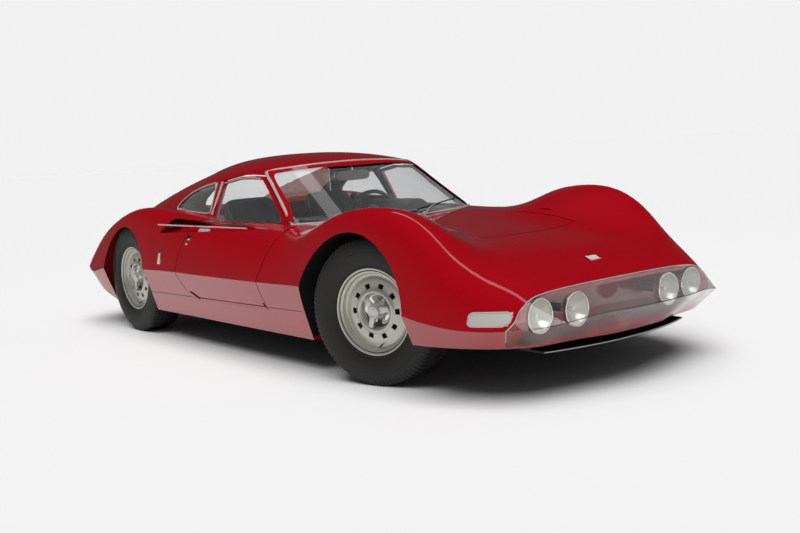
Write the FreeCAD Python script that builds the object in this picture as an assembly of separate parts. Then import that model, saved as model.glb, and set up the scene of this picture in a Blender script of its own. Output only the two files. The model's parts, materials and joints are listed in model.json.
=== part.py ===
import FreeCAD, Part
import math
import os

# Low mid-engined sports coupe, left-hand drive. X forward, Y left, Z up, millimetres.
# The origin lies on the ground below the middle of the car.

# Driving dimensions
length = 4040.0
width = 1670.0
height = 1000.0
wheelbase = 2280.0
front_overhang = 990.0
body_wall = 20.0
shut_gap = 5.0
window_gap = 8.0
seat_gap = 0.3
overrun = 60.0

# Wheels and tyres
tyre_radius = 320.0
tyre_width = 192.0
tyre_shoulder = 22.0
rim_flange_radius = 188.0
rim_width = 164.0
rim_wall = 7.0
wheel_disc_wall = 12.0
wheel_hole_count = 10
wheel_hole_half = 14.0
wheel_hole_radius = 17.0
wheel_hole_ring = 118.0
hub_radius = 32.0
spinner_length = 38.0
spinner_reach = 60.0
spinner_first_deg = 15.0
front_wheel_y = 652.0
rear_wheel_y = 674.0
steer_rest_deg = 17.3
brake_disc_radius = 132.0
brake_disc_wall = 12.0

# Places behind or ahead of the front axle
split_back = 1000.0
scuttle_back = 800.0
bulkhead_back = 1790.0
firewall = 25.0
parcel_shelf = 40.0
sail_inner_y = 405.0
sail_end_back = 2760.0
front_lid_ahead = 225.0
front_lid_length = 695.0
front_lid_half = 345.0
engine_lid_back = 1900.0
engine_lid_length = 780.0
engine_lid_half = 385.0

# Body levels
sill_bottom = 158.0
nose_bottom = 220.0
tail_bottom = 270.0
sill_line_rear = 250.0
sill_line_front = 284.0
floor_top = 190.0

# Arches, seen from the side
front_arch_shift = 25.0
front_arch_half = 357.0
front_arch_rise = 354.0
front_well_outer_y = 785.0
front_well_half = 375.0
fender_wall = 8.0
rear_arch_half = 308.0
rear_arch_rise = 322.0
arch_base = 308.0

# Glass and trim
glass_wall = 5.0
glass_depth = 5.0
screen_frame = 13.0
window_frame = 15.0

# Cabin section, wheel wells, bays
belt_level = 600.0
dash_level = 575.0
door_inner_low_y = 735.0
door_inner_low_z = 300.0
door_inner_high_y = 560.0
door_inner_high_z = 720.0
door_step_depth = 70.0
door_inner_inset = 25.0
door_flange = 10.0
foot_half = 560.0
wheel_well_half = 395.0
rear_well_inner_y = 545.0
rear_well_outer_y = 806.0
rear_well_half = 352.0
rear_well_rise = 352.0
engine_bay_half = 400.0
engine_bay_length = 830.0
engine_bay_top = 600.0
boot_floor = 470.0
boot_margin = 22.0
lid_wall = 16.0
lid_floor = 560.0
nose_recess_back = 380.0
nose_recess_floor = 228.0
nose_slot_half = 550.0
cover_edge_back = 238.0
cover_end_back = 230.0
cover_end_z = 325.0
cover_foot_back = 290.0
tail_recess_depth = 70.0
tail_recess_half = 560.0
tail_recess_low = 390.0
tail_recess_high = 500.0
scoop_depth = 48.0
scoop_tip_depth = 4.0
scoop_pocket_depth = 75.0
scoop_inner_y = 655.0
tiny_volume = 2000.0

# Running gear
arm_spread = 130.0
arm_inner_y = 300.0
arm_radius = 11.0
ball_radius = 15.0
ball_reach = 120.0
kingpin_offset = 30.0
upright_half = 22.0
axle_radius = 16.0
running_gap = 0.5
beam_wall = 40.0
half_shaft_radius = 17.0

# Nose and lamps
panel_wall = 14.0
cover_wall = 4.0
lamp_radius = 64.0
lamp_depth = 60.0
lamp_rim = 5.0
lamp_outer_back = 233.0
lamp_outer_y = 480.0
lamp_inner_back = 213.0
lamp_inner_y = 293.0
lamp_z = 334.0
marker_length = 130.0
marker_height = 48.0
marker_back = 310.0
marker_z = 342.0
marker_inner_y = 560.0
lip_wall = 8.0
lip_drop = 34.0
lip_half = 445.0
lip_back = 179.0
lip_radius = 1400.0

# Tail, engine and exhaust
tail_lamp_radius = 46.0
tail_lamp_outer_y = 490.0
tail_lamp_inner_y = 370.0
tail_lamp_depth = 22.0
engine_width = 430.0
engine_length = 400.0
engine_bottom = 232.0
engine_top = 585.0
gearbox_half = 130.0
gearbox_length = 300.0
gearbox_bottom = 228.0
gearbox_top = 400.0
silencer_length = 60.0
silencer_half = 300.0
silencer_bottom = 205.0
silencer_top = 345.0
pipe_radius = 26.0
pipe_wall = 3.0
pipe_y = 95.0
pipe_z = 236.0
pipe_length = 375.0

# Cabin fittings
seat_front_back = 1070.0
seat_y = 275.0
seat_half = 200.0
seat_length = 470.0
seat_back_wall = 110.0
seat_lean = 225.0
seat_top = 780.0
cushion_top = 305.0
dash_ahead = 160.0
dash_behind = 240.0
dash_half = 440.0
dash_top = 665.0
hood_radius = 85.0
hood_z = 635.0
hood_back = 1150.0
column_radius = 19.0
column_lean_deg = 20.0
wheel_ring_radius = 185.0
wheel_ring_wall = 13.0
column_length = 240.0
wheel_centre_back = 1260.0
wheel_centre_z = 585.0
driver_y = 250.0
gear_lever_back = 1010.0
gear_lever_top = 430.0
gear_stick_radius = 7.0
gear_knob_radius = 20.0
mirror_back = 1050.0
mirror_width = 230.0
mirror_height = 55.0
mirror_wall = 22.0
mirror_z = 866.0
mirror_stalk_radius = 6.0

half_width = width / 2
front_axle_x = length / 2 - front_overhang
rear_axle_x = front_axle_x - wheelbase

# Shares: x of the wheelbase from the front axle, then y of the half width, then z of the height
lower_body_shares = (
    (0.491, (0.000, 0.230, 0.410, 0.530, 0.610, 0.670, 0.720, 0.770, 0.820),
     (0.305, 0.300, 0.277, 0.240, 0.200, 0.155, 0.105, 0.045, -0.030)),
    (0.430, (0.000, 0.240, 0.430, 0.560, 0.640, 0.700, 0.750, 0.800, 0.850),
     (0.346, 0.342, 0.322, 0.288, 0.250, 0.208, 0.160, 0.100, 0.030)),
    (0.386, (0.000, 0.250, 0.450, 0.580, 0.652, 0.703, 0.745, 0.786, 0.828),
     (0.379, 0.376, 0.351, 0.314, 0.278, 0.240, 0.195, 0.140, 0.070)),
    (0.336, (0.000, 0.263, 0.470, 0.600, 0.665, 0.706, 0.738, 0.768, 0.802),
     (0.421, 0.421, 0.418, 0.409, 0.389, 0.360, 0.326, 0.280, 0.210)),
    (0.281, (0.000, 0.263, 0.475, 0.620, 0.710, 0.767, 0.812, 0.840, 0.864),
     (0.489, 0.487, 0.484, 0.480, 0.464, 0.437, 0.396, 0.350, 0.270)),
    (0.220, (0.000, 0.263, 0.479, 0.623, 0.738, 0.815, 0.872, 0.912, 0.938),
     (0.536, 0.536, 0.538, 0.546, 0.552, 0.522, 0.468, 0.370, 0.260)),
    (0.175, (0.000, 0.263, 0.479, 0.623, 0.750, 0.832, 0.897, 0.947, 0.973),
     (0.560, 0.560, 0.574, 0.610, 0.641, 0.613, 0.545, 0.381, 0.260)),
    (0.129, (0.000, 0.263, 0.479, 0.623, 0.758, 0.843, 0.916, 0.968, 0.993),
     (0.579, 0.580, 0.602, 0.660, 0.707, 0.684, 0.614, 0.389, 0.260)),
    (0.080, (0.000, 0.263, 0.479, 0.623, 0.765, 0.847, 0.928, 0.984, 1.007),
     (0.595, 0.597, 0.632, 0.700, 0.744, 0.728, 0.656, 0.398, 0.260)),
    (0.018, (0.000, 0.263, 0.479, 0.623, 0.772, 0.853, 0.934, 0.994, 1.016),
     (0.612, 0.614, 0.655, 0.717, 0.755, 0.748, 0.680, 0.405, 0.260)),
    (-0.057, (0.000, 0.263, 0.479, 0.623, 0.766, 0.850, 0.934, 0.998, 1.017),
     (0.627, 0.629, 0.664, 0.706, 0.741, 0.738, 0.675, 0.412, 0.260)),
    (-0.114, (0.000, 0.263, 0.479, 0.623, 0.757, 0.846, 0.932, 0.999, 1.017),
     (0.637, 0.638, 0.656, 0.672, 0.700, 0.706, 0.655, 0.416, 0.260)),
    (-0.175, (0.000, 0.263, 0.479, 0.623, 0.745, 0.838, 0.925, 0.999, 1.017),
     (0.646, 0.648, 0.656, 0.656, 0.658, 0.660, 0.615, 0.420, 0.260)),
    (-0.246, (0.000, 0.263, 0.479, 0.623, 0.731, 0.826, 0.917, 1.000, 1.017),
     (0.654, 0.655, 0.658, 0.656, 0.648, 0.625, 0.572, 0.421, 0.260)),
    (-0.351, (0.000, 0.263, 0.479, 0.623, 0.733, 0.826, 0.917, 1.001, 1.018),
     (0.660, 0.661, 0.662, 0.662, 0.655, 0.622, 0.558, 0.419, 0.260)),
    (-0.500, (0.000, 0.263, 0.479, 0.623, 0.745, 0.834, 0.922, 1.002, 1.019),
     (0.676, 0.676, 0.677, 0.678, 0.674, 0.640, 0.565, 0.414, 0.260)),
    (-0.639, (0.000, 0.263, 0.479, 0.623, 0.760, 0.843, 0.927, 1.001, 1.018),
     (0.692, 0.692, 0.693, 0.694, 0.693, 0.664, 0.588, 0.406, 0.260)),
    (-0.746, (0.000, 0.263, 0.479, 0.635, 0.778, 0.855, 0.934, 1.000, 1.017),
     (0.704, 0.704, 0.704, 0.704, 0.708, 0.690, 0.615, 0.402, 0.260)),
    (-0.860, (0.000, 0.263, 0.479, 0.647, 0.795, 0.872, 0.941, 0.999, 1.016),
     (0.716, 0.716, 0.718, 0.720, 0.733, 0.716, 0.650, 0.398, 0.260)),
    (-0.930, (0.000, 0.263, 0.479, 0.653, 0.805, 0.879, 0.946, 0.996, 1.013),
     (0.720, 0.720, 0.722, 0.725, 0.738, 0.722, 0.650, 0.396, 0.260)),
    (-1.000, (0.000, 0.263, 0.479, 0.659, 0.805, 0.879, 0.944, 0.994, 1.011),
     (0.713, 0.713, 0.715, 0.718, 0.727, 0.710, 0.640, 0.393, 0.260)),
    (-1.075, (0.000, 0.263, 0.479, 0.659, 0.796, 0.872, 0.937, 0.988, 1.006),
     (0.692, 0.692, 0.692, 0.692, 0.692, 0.672, 0.600, 0.388, 0.260)),
    (-1.149, (0.000, 0.263, 0.479, 0.659, 0.784, 0.857, 0.922, 0.976, 0.996),
     (0.662, 0.662, 0.660, 0.656, 0.648, 0.624, 0.555, 0.380, 0.260)),
    (-1.219, (0.000, 0.263, 0.479, 0.659, 0.766, 0.838, 0.901, 0.958, 0.982),
     (0.624, 0.623, 0.619, 0.611, 0.596, 0.568, 0.500, 0.371, 0.260)),
    (-1.281, (0.000, 0.263, 0.479, 0.653, 0.754, 0.820, 0.880, 0.934, 0.964),
     (0.572, 0.570, 0.564, 0.550, 0.528, 0.495, 0.435, 0.350, 0.250)),
    (-1.329, (0.000, 0.263, 0.479, 0.647, 0.743, 0.808, 0.862, 0.916, 0.952),
     (0.500, 0.497, 0.487, 0.466, 0.438, 0.400, 0.350, 0.280, 0.190)),
    (-1.373, (0.000, 0.263, 0.479, 0.641, 0.731, 0.796, 0.850, 0.904, 0.940),
     (0.405, 0.400, 0.385, 0.358, 0.325, 0.280, 0.230, 0.165, 0.090)),
    (-1.412, (0.000, 0.263, 0.479, 0.635, 0.725, 0.790, 0.844, 0.898, 0.934),
     (0.290, 0.284, 0.265, 0.235, 0.198, 0.150, 0.100, 0.040, -0.030)),
)
cabin_shares = (
    (-0.110, (0.000, 0.240, 0.443, 0.527, 0.581, 0.653, 0.719, 0.778),
     (0.660, 0.655, 0.638, 0.624, 0.604, 0.560, 0.500, 0.400)),
    (-0.263, (0.000, 0.240, 0.443, 0.527, 0.575, 0.647, 0.707, 0.766),
     (0.800, 0.794, 0.775, 0.760, 0.742, 0.695, 0.645, 0.540)),
    (-0.373, (0.000, 0.240, 0.443, 0.527, 0.581, 0.653, 0.721, 0.778),
     (0.893, 0.888, 0.870, 0.855, 0.832, 0.740, 0.655, 0.550)),
    (-0.487, (0.000, 0.240, 0.443, 0.537, 0.602, 0.671, 0.738, 0.790),
     (0.968, 0.963, 0.944, 0.928, 0.903, 0.785, 0.672, 0.560)),
    (-0.570, (0.000, 0.240, 0.449, 0.557, 0.628, 0.692, 0.754, 0.805),
     (0.994, 0.988, 0.964, 0.935, 0.903, 0.790, 0.684, 0.575)),
    (-0.649, (0.000, 0.240, 0.455, 0.575, 0.647, 0.707, 0.764, 0.810),
     (1.001, 0.995, 0.967, 0.925, 0.884, 0.788, 0.692, 0.590)),
    (-0.746, (0.000, 0.240, 0.443, 0.575, 0.654, 0.707, 0.754, 0.793),
     (0.992, 0.985, 0.952, 0.900, 0.851, 0.778, 0.700, 0.600)),
    (-0.811, (0.000, 0.240, 0.431, 0.563, 0.654, 0.702, 0.740, 0.778),
     (0.970, 0.962, 0.929, 0.876, 0.820, 0.760, 0.700, 0.600)),
    (-0.921, (0.000, 0.240, 0.419, 0.551, 0.637, 0.685, 0.721, 0.759),
     (0.915, 0.907, 0.880, 0.832, 0.780, 0.735, 0.690, 0.590)),
    (-1.053, (0.000, 0.240, 0.419, 0.551, 0.637, 0.683, 0.719, 0.754),
     (0.835, 0.828, 0.806, 0.764, 0.715, 0.675, 0.632, 0.540)),
    (-1.184, (0.000, 0.240, 0.419, 0.551, 0.637, 0.683, 0.719, 0.754),
     (0.740, 0.735, 0.715, 0.676, 0.632, 0.595, 0.555, 0.470)),
    (-1.294, (0.000, 0.240, 0.419, 0.551, 0.637, 0.683, 0.719, 0.754),
     (0.640, 0.635, 0.615, 0.575, 0.532, 0.495, 0.455, 0.370)),
)
# Sharp edge of the body in plan: x, y and z shares, and the lean of the lower side below it
edge_shares = (
    (0.434, 0.000, 0.343, 1.20), (0.433, 0.132, 0.343, 1.20), (0.4225, 0.293, 0.340, 1.20),
    (0.396, 0.431, 0.336, 1.12), (0.3715, 0.587, 0.330, 1.00), (0.336, 0.733, 0.328, 0.80),
    (0.281, 0.838, 0.350, 0.55), (0.220, 0.911, 0.370, 0.42), (0.154, 0.959, 0.385, 0.36),
    (0.080, 0.985, 0.398, 0.31), (0.000, 0.994, 0.410, 0.29), (-0.165, 0.998, 0.420, 0.29),
    (-0.500, 1.000, 0.414, 0.29), (-0.789, 0.996, 0.402, 0.29), (-1.000, 0.990, 0.393, 0.30),
    (-1.149, 0.970, 0.380, 0.34), (-1.250, 0.935, 0.366, 0.45), (-1.298, 0.885, 0.358, 0.56),
    (-1.316, 0.800, 0.354, 0.62), (-1.323, 0.647, 0.352, 0.64), (-1.3245, 0.400, 0.352, 0.64),
    (-1.3245, 0.200, 0.352, 0.64), (-1.3245, 0.000, 0.352, 0.64),
)

# Windscreen lines: foot and head, as x, y and z shares from the middle to the corner and past it
screen_foot_shares = ((-0.231, 0.000, 0.655), (-0.250, 0.263, 0.656), (-0.281, 0.515, 0.657),
                      (-0.329, 0.708, 0.657), (-0.386, 0.862, 0.657))
screen_head_shares = ((-0.452, 0.000, 0.948), (-0.458, 0.228, 0.945), (-0.471, 0.443, 0.933),
                      (-0.487, 0.600, 0.912), (-0.510, 0.760, 0.890))
screen_reach_share = 0.8

# Outlines seen from the side, x share of the wheelbase from the front axle, z share of the height
door_shares = ((-0.300, 0.780), (-0.307, 0.600), (-0.313, 0.500), (-0.324, 0.409), (-0.318, 0.330),
               (-0.296, 0.266), (-0.608, 0.255), (-0.660, 0.300), (-0.692, 0.400), (-0.686, 0.524),
               (-0.668, 0.600), (-0.644, 0.702), (-0.634, 0.780))
roof_foot_shares = ((-0.290, 0.600), (-0.290, 0.672), (-0.345, 0.674), (-0.636, 0.700), (-0.652, 0.735),
                    (-0.652, 0.600))
door_window_shares = ((-0.335, 0.640), (-0.488, 0.899), (-0.530, 0.905), (-0.575, 0.905), (-0.651, 0.880),
                      (-0.643, 0.702), (-0.641, 0.640))
quarter_window_shares = ((-0.660, 0.706), (-0.677, 0.873), (-0.740, 0.853), (-0.808, 0.818), (-0.848, 0.770),
                         (-0.861, 0.742), (-0.857, 0.722))
scoop_shares = ((-0.380, 0.644), (-0.380, 0.639), (-0.797, 0.609), (-0.757, 0.686))
scoop_pocket_shares = ((-0.755, 0.676), (-0.735, 0.622), (-0.785, 0.617), (-0.766, 0.664))
pole_push_share = 1 / 6

# Places along the car
split_x = front_axle_x - split_back
scuttle_x = front_axle_x - scuttle_back
footwell_x = front_axle_x - wheel_well_half
bulkhead_x = front_axle_x - bulkhead_back
rear_window_x = bulkhead_x - parcel_shelf
sail_end_x = front_axle_x - sail_end_back
front_lid_front_x = front_axle_x + front_lid_ahead
front_lid_rear_x = front_lid_front_x - front_lid_length
engine_lid_front_x = front_axle_x - engine_lid_back
engine_lid_rear_x = engine_lid_front_x - engine_lid_length
engine_bay_front_x = bulkhead_x - firewall
engine_bay_rear_x = engine_bay_front_x - engine_bay_length
nose_x = front_axle_x + front_overhang
nose_recess_x = nose_x - nose_recess_back
cover_edge_x = nose_x - cover_edge_back
tail_recess_x = -length / 2 + tail_recess_depth

V = FreeCAD.Vector


def box(x0, x1, y0, y1, z0, z1):
    return Part.makeBox(abs(x1 - x0), abs(y1 - y0), abs(z1 - z0), V(min(x0, x1), min(y0, y1), min(z0, z1)))


def rod(start, end, radius):
    axis = end - start
    return Part.makeCylinder(radius, axis.Length, start, axis)


def mirrored(shape):
    return shape.mirror(V(0, 0, 0), V(0, 1, 0))


def place(x_share, y_share, z_share):
    return V(front_axle_x + x_share * wheelbase, y_share * half_width, z_share * height)


def both_sides(left):
    """Points from the right edge over the middle to the left edge"""
    return [V(p.x, -p.y, p.z) for p in reversed(left[1:])] + left


def body_grid(table):
    return [both_sides([place(x, y, z) for y, z in zip(ys, zs)]) for x, ys, zs in table]


def sunk_grid(rows, depth):
    """The same grid, each point moved inward square to the surface"""
    sunk = []
    for i, row in enumerate(rows):
        before = rows[max(i - 1, 0)]
        after = rows[min(i + 1, len(rows) - 1)]
        line = []
        for j, point in enumerate(row):
            along = after[j] - before[j]
            across = row[min(j + 1, len(row) - 1)] - row[max(j - 1, 0)]
            inward = along.cross(across).normalize()
            line.append(point + inward * depth)
        sunk.append(line)
    return sunk


def pushed(line):
    """Poles whose smooth curve runs close by the points"""
    inner = [here + (here * 2 - before - after) * pole_push_share
             for before, here, after in zip(line, line[1:], line[2:])]
    return [line[0]] + inner + [line[-1]]


def ramp_grid(rows, tip_x, tip_depth, end_x, end_depth):
    """The grid sunk by a depth that grows along the car from the tip to the end"""
    sunk = []
    for row, shallow, deep in zip(rows, sunk_grid(rows, tip_depth), sunk_grid(rows, end_depth)):
        share = min(max((tip_x - row[0].x) / (tip_x - end_x), 0), 1)
        sunk.append([a + (b - a) * share for a, b in zip(shallow, deep)])
    return sunk


def skin(rows):
    rows = [pushed(row) for row in rows]
    columns = [pushed(list(column)) for column in zip(*rows)]
    poles = [list(row) for row in zip(*columns)]
    degree = 3
    u_spans = len(poles) - degree
    v_spans = len(poles[0]) - degree
    u_mults = [degree + 1] + [1] * (u_spans - 1) + [degree + 1]
    v_mults = [degree + 1] + [1] * (v_spans - 1) + [degree + 1]
    surface = Part.BSplineSurface()
    surface.buildFromPolesMultsKnots(poles, u_mults, v_mults, list(range(u_spans + 1)),
                                     list(range(v_spans + 1)), False, False, degree, degree)
    return surface.toShape()


def under(rows):
    """All that lies below the surface, down past the ground"""
    return skin(rows).extrude(V(0, 0, -2 * height))


def edge_band(inset):
    """The leaning lower side: a tub that meets the upper body at the sharp edge along the side"""
    left = [place(x, y, z) for x, y, z, lean in edge_shares]
    leans = [lean for x, y, z, lean in edge_shares]
    points = left + [V(p.x, -p.y, p.z) for p in reversed(left[1:-1])]
    leans = leans + list(reversed(leans[1:-1]))
    count = len(points)
    loops = []
    for level in (sill_bottom - overrun, height):
        loop = []
        for i in range(count):
            along = points[(i + 1) % count] - points[i - 1]
            outward = V(along.y, -along.x, 0).normalize()
            shift = leans[i] * (level - points[i].z) - inset
            loop.append(V(points[i].x, points[i].y, level) + outward * shift)
        curve = Part.BSplineCurve()
        curve.interpolate(Points=loop, PeriodicFlag=True)
        loops.append(Part.Wire(curve.toShape()))
    return Part.makeLoft(loops, True, True)


def side_prism(points, y0, y1):
    """An outline seen from the side, given as x and z, drawn out along y"""
    corners = [V(x, y0, z) for x, z in points]
    return Part.Face(Part.makePolygon(corners + corners[:1])).extrude(V(0, y1 - y0, 0))


def side_outline(table):
    return [(front_axle_x + x * wheelbase, z * height) for x, z in table]


def grown(points, margin):
    """The outline moved out by a margin, or in by a negative one"""
    count = len(points)
    area = sum(points[i - 1][0] * points[i][1] - points[i][0] * points[i - 1][1] for i in range(count))
    turn = 1 if area > 0 else -1
    moved = []
    for i in range(count):
        ax, az = points[i - 1]
        bx, bz = points[i]
        cx, cz = points[(i + 1) % count]
        first = V(bz - az, 0, ax - bx).normalize() * turn
        second = V(cz - bz, 0, bx - cx).normalize() * turn
        middle = (first + second).normalize()
        reach = margin / max(middle.dot(first), 0.3)
        moved.append((bx + middle.x * reach, bz + middle.z * reach))
    return moved


def arch_prism(axle_x, half, rise, y0, y1, margin=0.0):
    """A wheel arch opening: half an ellipse on a straight base that goes down past the ground"""
    steps = 24
    points = []
    for i in range(steps + 1):
        turn = math.pi * i / steps
        points.append((axle_x + (half + margin) * math.cos(turn),
                       arch_base + (rise + margin) * math.sin(turn)))
    points.append((axle_x - half - margin, -overrun))
    points.append((axle_x + half + margin, -overrun))
    return side_prism(points, y0, y1)


def screen_grid():
    foot = [place(*shares) for shares in screen_foot_shares]
    head = [place(*shares) for shares in screen_head_shares]
    below = [f + (f - h) * screen_reach_share for f, h in zip(foot, head)]
    above = [h + (h - f) * screen_reach_share for f, h in zip(foot, head)]
    return [both_sides(line) for line in (below, foot, head, above)]


def behind(rows):
    """All that lies behind the windscreen's surface"""
    return skin(rows).extrude(V(-length, 0, 0))


def revolved(points, degrees=360):
    """A closed profile given as y along the axle and radius, turned about the Y axis"""
    corners = [V(r, y, 0) for y, r in points]
    return Part.Face(Part.makePolygon(corners + corners[:1])).revolve(V(0, 0, 0), V(0, 1, 0), degrees)


# Shapes that many pieces share
lower_grid = body_grid(lower_body_shares)
cabin_grid = body_grid(cabin_shares)
glass_grid = screen_grid()
door_outline = side_outline(door_shares)
door_window_outline = side_outline(door_window_shares)
quarter_window_outline = side_outline(quarter_window_shares)

bottom_points = [(length, nose_bottom), (front_axle_x + front_arch_half, nose_bottom),
                 (front_axle_x, nose_bottom), (front_axle_x - front_arch_half, sill_bottom),
                 (rear_axle_x - rear_arch_half, sill_bottom), (rear_axle_x - 2 * rear_arch_half, tail_bottom),
                 (-length, tail_bottom), (-length, -height), (length, -height)]
upper_solid = under(lower_grid)
body_solid = upper_solid.common(edge_band(0)).cut(side_prism(bottom_points, -width, width))

cabin_solid = under(cabin_grid).common(behind(glass_grid))
cabin_space = under(sunk_grid(cabin_grid, body_wall)).common(behind(sunk_grid(glass_grid, body_wall)))
cabin_space = cabin_space.common(box(rear_window_x, length, -width, width, belt_level, 2 * height))


def x_prism(points, x0, x1):
    """An outline seen from the front, given as y and z, drawn out along x"""
    corners = [V(x0, y, z) for y, z in points]
    return Part.Face(Part.makePolygon(corners + corners[:1])).extrude(V(x1 - x0, 0, 0))


def cabin_tub():
    """The space between the doors from the floor to the belt, and the footwell ahead of it"""
    section = [(-door_inner_low_y, floor_top), (-door_inner_low_y, door_inner_low_z),
               (-door_inner_high_y, door_inner_high_z), (door_inner_high_y, door_inner_high_z),
               (door_inner_low_y, door_inner_low_z), (door_inner_low_y, floor_top)]
    foot = box(scuttle_x - overrun, footwell_x, -foot_half, foot_half, floor_top, dash_level)
    return x_prism(section, bulkhead_x, scuttle_x).fuse(foot)


def inboard(shift):
    """All that lies inboard of the left door's leaning inner face, that face moved outboard by the shift"""
    low_y = door_inner_low_y + shift
    high_y = door_inner_high_y + shift
    return x_prism([(0, -overrun), (low_y, -overrun), (low_y, door_inner_low_z), (high_y, door_inner_high_z),
                    (high_y, height), (0, height)], -length, length)


def side_block(outline, margin):
    return side_prism(grown(outline, margin), half_width / 2, half_width + overrun)


def door_block():
    """The left door's room: a full outer part, and a smaller inner part that passes the body's flange"""
    outer = side_block(door_outline, 0).cut(inboard(door_step_depth))
    return outer.fuse(side_block(door_outline, -door_inner_inset).cut(inboard(0)))


def doorway():
    """The left opening in the body: a gap round the door's outer part, and a flange behind its edge"""
    outer = side_block(door_outline, shut_gap).cut(inboard(door_step_depth - seat_gap))
    return outer.fuse(side_block(door_outline, -door_flange).cut(inboard(-shut_gap)))


def scoop():
    """The left side's wedge-shaped groove and the intake pocket at its rear end"""
    outline = side_outline(scoop_shares)
    wedge = side_prism(outline, scoop_inner_y, half_width + overrun)
    wedge = wedge.cut(under(ramp_grid(lower_grid, outline[0][0], scoop_tip_depth,
                                      outline[2][0], scoop_depth)))
    pocket = side_prism(side_outline(scoop_pocket_shares), scoop_inner_y, half_width + overrun)
    return wedge.fuse(pocket.cut(under(sunk_grid(lower_grid, scoop_pocket_depth))))


def wheel_rim():
    """A pressed disc wheel: rim, dished disc with round holes, hub and eared spinner. Outer side toward -Y"""
    half = rim_width / 2
    seat = rim_flange_radius - rim_wall * 2
    well = seat - rim_wall * 3
    disc_y = -half * 0.45
    profile = [(-half, rim_flange_radius), (-half + rim_wall, rim_flange_radius), (-half + rim_wall, seat),
               (-half * 0.55, seat), (-half * 0.35, well), (half * 0.5, well), (half * 0.7, seat),
               (half - rim_wall, seat), (half - rim_wall, rim_flange_radius), (half, rim_flange_radius),
               (half, seat - rim_wall), (half * 0.62, seat - rim_wall), (half * 0.42, well - rim_wall),
               (-half * 0.3, well - rim_wall), (-half * 0.45, seat - rim_wall), (-half, seat - rim_wall)]
    rim = revolved(profile)
    outer_radius = well - rim_wall / 2
    disc = revolved([(disc_y, hub_radius / 2), (disc_y - wheel_disc_wall, wheel_hole_ring),
                     (disc_y, outer_radius), (disc_y + wheel_disc_wall, outer_radius),
                     (disc_y, wheel_hole_ring), (disc_y + wheel_disc_wall, hub_radius / 2)])
    hole = Part.makeCylinder(wheel_hole_radius, rim_width, V(wheel_hole_ring, half, 0), V(0, -1, 0))
    hole = hole.common(box(wheel_hole_ring - wheel_hole_half, wheel_hole_ring + wheel_hole_half, -half, half,
                           -wheel_hole_half, wheel_hole_half))
    for i in range(wheel_hole_count):
        cut = hole.copy()
        cut.rotate(V(0, 0, 0), V(0, 1, 0), 360 / wheel_hole_count * i)
        disc = disc.cut(cut)
    hub = Part.makeCylinder(hub_radius, spinner_length + wheel_disc_wall, V(0, disc_y + wheel_disc_wall, 0),
                            V(0, -1, 0))
    ears = []
    for turn in (0, 120, 240):
        ear = box(0, spinner_reach, disc_y - spinner_length * 0.8, disc_y - spinner_length * 0.4,
                  -hub_radius * 0.3, hub_radius * 0.3)
        ear.rotate(V(0, 0, 0), V(0, 1, 0), -spinner_first_deg - turn)
        ears.append(ear)
    rotor = Part.makeCylinder(brake_disc_radius, brake_disc_wall, V(0, -brake_disc_wall, 0), V(0, 1, 0))
    neck = Part.makeCylinder(hub_radius, -disc_y, V(0, disc_y, 0), V(0, 1, 0))
    bore = Part.makeCylinder(axle_radius, -disc_y, V(0, disc_y, 0), V(0, 1, 0))
    return rim.fuse([disc, hub, rotor, neck] + ears).cut(bore)


def tyre():
    """A closed ring: round tread, bulged walls and beads on the rim's seats"""
    half = tyre_width / 2
    bead = rim_width / 2 - rim_wall
    seat = rim_flange_radius - rim_wall * 2
    wall_radius = (rim_flange_radius + tyre_radius) / 2
    profile = [(-bead + seat_gap, seat + seat_gap), (-bead + seat_gap, rim_flange_radius + seat_gap),
               (-bead - rim_wall, rim_flange_radius + seat_gap * 2), (-half, wall_radius),
               (-half + tyre_shoulder * 0.4, tyre_radius - tyre_shoulder), (-half + tyre_shoulder, tyre_radius),
               (half - tyre_shoulder, tyre_radius), (half - tyre_shoulder * 0.4, tyre_radius - tyre_shoulder),
               (half, wall_radius), (bead + rim_wall, rim_flange_radius + seat_gap * 2),
               (bead - seat_gap, rim_flange_radius + seat_gap), (bead - seat_gap, seat + seat_gap),
               (bead - rim_wall * 2, seat + seat_gap), (half - rim_wall * 2, wall_radius),
               (half - tyre_shoulder, tyre_radius - rim_wall * 2),
               (-half + tyre_shoulder, tyre_radius - rim_wall * 2),
               (-half + rim_wall * 2, wall_radius), (-bead + rim_wall * 2, seat + seat_gap)]
    return revolved(profile)


def upright(offset):
    """Upright with two ball joint eyes and the stub axle, outer side toward -Y, centre at the origin"""
    post = box(-upright_half, upright_half, offset - upright_half * 0.6, offset + upright_half * 0.6,
               -ball_reach + ball_radius + running_gap, ball_reach - ball_radius - running_gap)
    stub_end = -rim_width * 0.225 + running_gap
    stub = Part.makeCylinder(axle_radius - running_gap, offset - stub_end, V(0, offset, 0), V(0, -1, 0))
    collar = Part.makeCylinder(hub_radius, offset - running_gap, V(0, offset, 0), V(0, -1, 0))
    return post.fuse([stub, collar])


def arms(axle_x, inner_y, ball_y):
    """Upper and lower wishbones on both sides and the box beam between them that carries them"""
    low_z = tyre_radius - ball_reach
    high_z = tyre_radius + ball_reach
    pieces = []
    for side in (-1, 1):
        for level in (low_z, high_z):
            outer = V(axle_x, side * ball_y, level)
            pieces.append(Part.makeSphere(ball_radius, outer))
            for along in (-arm_spread + arm_radius, arm_spread - arm_radius):
                pieces.append(rod(V(axle_x + along, side * inner_y, level), outer, arm_radius))
        pieces.append(box(axle_x - arm_spread, axle_x + arm_spread, side * (inner_y - beam_wall),
                          side * inner_y, low_z - arm_radius, high_z + arm_radius * 2))
    beam = box(axle_x - arm_spread, axle_x + arm_spread, -inner_y, inner_y,
               low_z - arm_radius, low_z + beam_wall / 2)
    return beam.fuse(pieces)


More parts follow.
